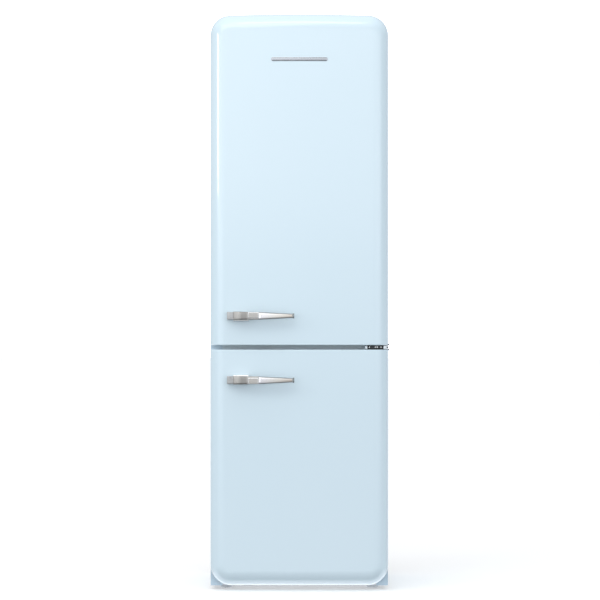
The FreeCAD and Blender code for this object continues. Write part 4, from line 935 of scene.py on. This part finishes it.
def lens():
    """Prismatic cover of the interior light: ribs across its lower face."""
    low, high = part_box("light_lens")
    rib_count, rib_depth = 20, 1.6 * MM
    rim, rim_thickness = 4 * MM, 1.2 * MM
    rib = (high.x - low.x - 2 * rim) / rib_count

    def lower(x):
        inside = min(x - low.x, high.x - x) - rim
        if inside < 0:
            return low.z + rim_thickness
        return low.z + rib_depth * abs(((x - low.x - rim) / rib) % 1 - 0.5)

    cover = soft_bar(low.x, high.x, lambda x: low.y, lambda x: high.y, lower, lambda x: high.z,
                     power=9, end_radius=2 * MM, steps=rib_count * 8)
    piece = new_piece("light_lens_ribbed", *cover, "frosted", "clear_plastic")
    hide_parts("light_lens")


def fan():
    """Evaporator fan with twisted, swept blades."""
    low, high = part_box("evaporator_fan")
    centre = (low + high) / 2
    reach = (high.x - low.x) / 2
    bore, hub_radius, root = 2.6 * MM, 12 * MM, 10 * MM
    hub = lathe([(bore, low.y + 4 * MM), (10 * MM, low.y + 3 * MM), (hub_radius, low.y + 5 * MM),
                 (hub_radius, high.y - 1 * MM), (bore, high.y - 1 * MM)],
                lambda a, b, h: (centre.x + a, h, centre.z + b))
    shapes = [hub]
    blades, rows, around = 5, 14, 20
    root_pitch, pitch_loss, blade_sweep = 48, 24, 18      # degrees
    root_chord, chord_gain = 9, 9                         # half chords, in millimetres
    tip_start, tip_length, tip_loss = 0.85, 0.15, 0.5     # shares of the blade, and of its chord
    half_thickness, flatness = 0.9 * MM, 0.55
    for blade in range(blades):
        rings = []
        for row in range(rows + 1):
            share = row / rows
            radius = root + (reach - root) * share
            pitch = radians(root_pitch - pitch_loss * share)
            chord = (root_chord + chord_gain * sin(pi * min(1, share + 0.25) * 0.6)) * MM
            if share > tip_start:
                chord *= 1 - tip_loss * ((share - tip_start) / tip_length) ** 2
            sweep = radians(360 * blade / blades + blade_sweep * share)
            ring = []
            for c, s in circle(around):
                along, thick = chord * c, half_thickness * s
                side = along * cos(pitch) - thick * sin(pitch)
                deep = along * sin(pitch) * flatness + thick * cos(pitch)
                turn = sweep + side / radius
                y = max(low.y, min(high.y, (low.y + high.y) / 2 + deep))
                ring.append((centre.x + radius * cos(turn), y, centre.z + radius * sin(turn)))
            rings.append(ring)
        shapes.append(rings_to_mesh(rings))
    piece = new_piece("evaporator_fan_blades", *merged(shapes), "white_plastic", "white_plastic",
                      "evaporator_fan")
    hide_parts("evaporator_fan")


def shelf_strips():
    """Bright strips let into the front trims of the shelves."""
    end_gap, edge, proud, sunk = 4 * MM, 3.4 * MM, 0.6 * MM, 2 * MM
    front_reach, tallest = 5 * MM, 15 * MM      # tell the front trims from the other solids
    shelf_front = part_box("fridge_shelves")[0].y
    strips = []
    for low, high in solids_of("shelf_trims"):
        if low.y < shelf_front - front_reach and high.z - low.z < tallest:
            strips.append(soft_block((low.x + end_gap, high.x - end_gap), (low.y - proud, low.y + sunk),
                                     (low.z + edge, high.z - edge),
                                     power=4, end_radius=0.8 * MM, steps=30))
    new_piece("shelf_strips", *merged(strips), "bright_metal", "polished")


def inlet_pins():
    """Three flat pins in the power inlet."""
    low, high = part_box("power_inlet")
    centre = (low.x + high.x) / 2
    level = low.z + 31 * MM
    half_width, half_height = 1 * MM, 2 * MM
    pins = []
    for x, z in ((-6.5, -2.5), (0, 3.5), (6.5, -2.5)):
        pins.append(soft_block(about(centre + x * MM, half_width), (high.y - 20 * MM, high.y - 5 * MM),
                               about(level + z * MM, half_height),
                               power=6, end_radius=0.3 * MM, steps=6))
    new_piece("inlet_pins", *merged(pins), "plated_steel", "plated_steel")


knob()
lens()
fan()
shelf_strips()
inlet_pins()


# ---------------------------------------------------------------- floor
FLOOR_HALF = 40.0
floor_mesh = bpy.data.meshes.new("floor")
floor_mesh.from_pydata([(-FLOOR_HALF, -FLOOR_HALF, 0), (FLOOR_HALF, -FLOOR_HALF, 0),
                        (FLOOR_HALF, FLOOR_HALF, 0), (-FLOOR_HALF, FLOOR_HALF, 0)], [], [(0, 1, 2, 3)])
floor = new_object("floor", floor_mesh)
floor_finish = Finish("floor", Roughness=0.9, Emission_Strength=0.2)
floor_finish.colour(floor_finish.noise(0.8, 2.0), (0.97, 0.94, 0.90), (0.985, 0.955, 0.915))
floor_mesh.materials.append(floor_finish.material)
floor.visible_diffuse = False
floor.visible_glossy = False
floor.visible_shadow = False

# ---------------------------------------------------------------- the studio around the object
# The world gives every direction its own brightness. Along Y, -1 is towards the camera's side and
# +1 is behind the object; along Z, +1 is up.
world = bpy.data.worlds.new("studio")
bpy.context.scene.world = world
world.use_nodes = True
sky = world.node_tree
background = sky.nodes["Background"]
direction = sky.nodes.new("ShaderNodeSeparateXYZ")
sky.links.new(sky.nodes.new("ShaderNodeTexCoord").outputs["Generated"], direction.inputs["Vector"])


def sky_range(axis, start, end, high, low=0.0):
    """Goes smoothly from low at start to high at end, by the direction's part along an axis."""
    made = sky.nodes.new("ShaderNodeMapRange")
    made.interpolation_type = "SMOOTHSTEP"
    for name, value in (("From Min", start), ("From Max", end), ("To Min", low), ("To Max", high)):
        made.inputs[name].default_value = value
    sky.links.new(direction.outputs[axis], made.inputs["Value"])
    return made.outputs["Result"]


def sky_math(operation, total, *others):
    """Adds up or multiplies values."""
    for other in others:
        made = sky.nodes.new("ShaderNodeMath")
        made.operation = operation
        sky.links.new(total, made.inputs[0])
        sky.links.new(other, made.inputs[1])
        total = made.outputs["Value"]
    return total


def sky_band(axis, near, far):
    """A band of directions either side of zero along one axis."""
    return sky_math("MULTIPLY", sky_range(axis, far, near, 1.0), sky_range(axis, -far, -near, 1.0))


WALLS = 0.63
front_wall = sky_range("Y", -0.3, -0.93, 1.03, WALLS)
behind_camera = sky_range("Y", -0.95, -0.99, 0.20)
back_wall = sky_range("Y", 0.90, 0.98, 0.60)
ceiling = sky_range("Z", 0.35, 0.95, 0.34)
# a level band in front, clear of the camera's own direction
horizon = sky_math("MULTIPLY", sky_band("Z", 0.03, 0.12), sky_range("Y", -0.3, -0.6, 0.80),
                   sky_range("Y", -0.97, -0.90, 1.0))
# in front, lighter just above the level and darker just below it
tilt = sky_math("MULTIPLY", sky_band("Z", 0.12, 0.3), sky_range("Z", -0.05, 0.05, 0.95, -0.36),
                sky_range("Y", -0.3, -0.6, 1.0))
# below the object, dark in front and light behind
dark_below = sky_math("MULTIPLY", sky_range("Z", -0.1, -0.5, -0.62), sky_range("Y", 0.0, -0.35, 1.0))
light_below = sky_math("MULTIPLY", sky_range("Z", -0.2, -0.5, 1.0), sky_range("Y", -0.3, 0.15, 1.05))
# the camera itself sees the background brighter by one, which is white
seen = sky.nodes.new("ShaderNodeLightPath").outputs["Is Camera Ray"]
brightness = sky_math("ADD", front_wall, behind_camera, back_wall, ceiling, horizon, tilt, dark_below,
                      light_below, seen)
sky.links.new(brightness, background.inputs["Strength"])
background.inputs["Color"].default_value = (0.93, 0.98, 1.045, 1)


def area_light(name, place, aim, size, power, colour=(1.0, 1.0, 1.0)):
    lamp = bpy.data.lights.new(name, "AREA")
    lamp.shape = "RECTANGLE"
    lamp.size, lamp.size_y = size
    lamp.energy = power
    lamp.color = colour
    light = new_object(name, lamp)
    light.location = place
    light.rotation_euler = (Vector(aim) - Vector(place)).to_track_quat("-Z", "Y").to_euler()


door_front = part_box("fridge_door_skin")[0].y
area_light("key_softbox", (-1.6, door_front - 3.6, 4.4), (0.0, door_front, 0.7), (3.4, 2.4),
           power=37, colour=(1.0, 0.95, 0.88))
area_light("left_strip", (-2.2, door_front - 1.1, 1.79), (-0.3, door_front, 1.5), (0.35, 0.75), power=7)
area_light("top_strip", (0.0, door_front - 0.7, 2.9), (0.0, door_front, 1.9), (0.66, 0.3), power=1.6)

# ---------------------------------------------------------------- camera, straight in front
SENSOR = 36.0                # millimetres
DISTANCE = 10.0              # metres from the doors' sides
FRAME_WIDTH = 2.028          # seen across the frame at the doors' sides
SIDE, HEIGHT = 0.00225, 0.9815
door_sides = door_front + 55 * MM
camera_data = bpy.data.cameras.new("camera")
camera_data.sensor_width = SENSOR
camera_data.lens = SENSOR * DISTANCE / FRAME_WIDTH
camera = new_object("camera", camera_data)
camera.location = (SIDE, door_sides - DISTANCE, HEIGHT)
camera.rotation_euler = (pi / 2, 0, 0)
bpy.context.scene.camera = camera
bpy.context.scene.view_settings.view_transform = "Standard"
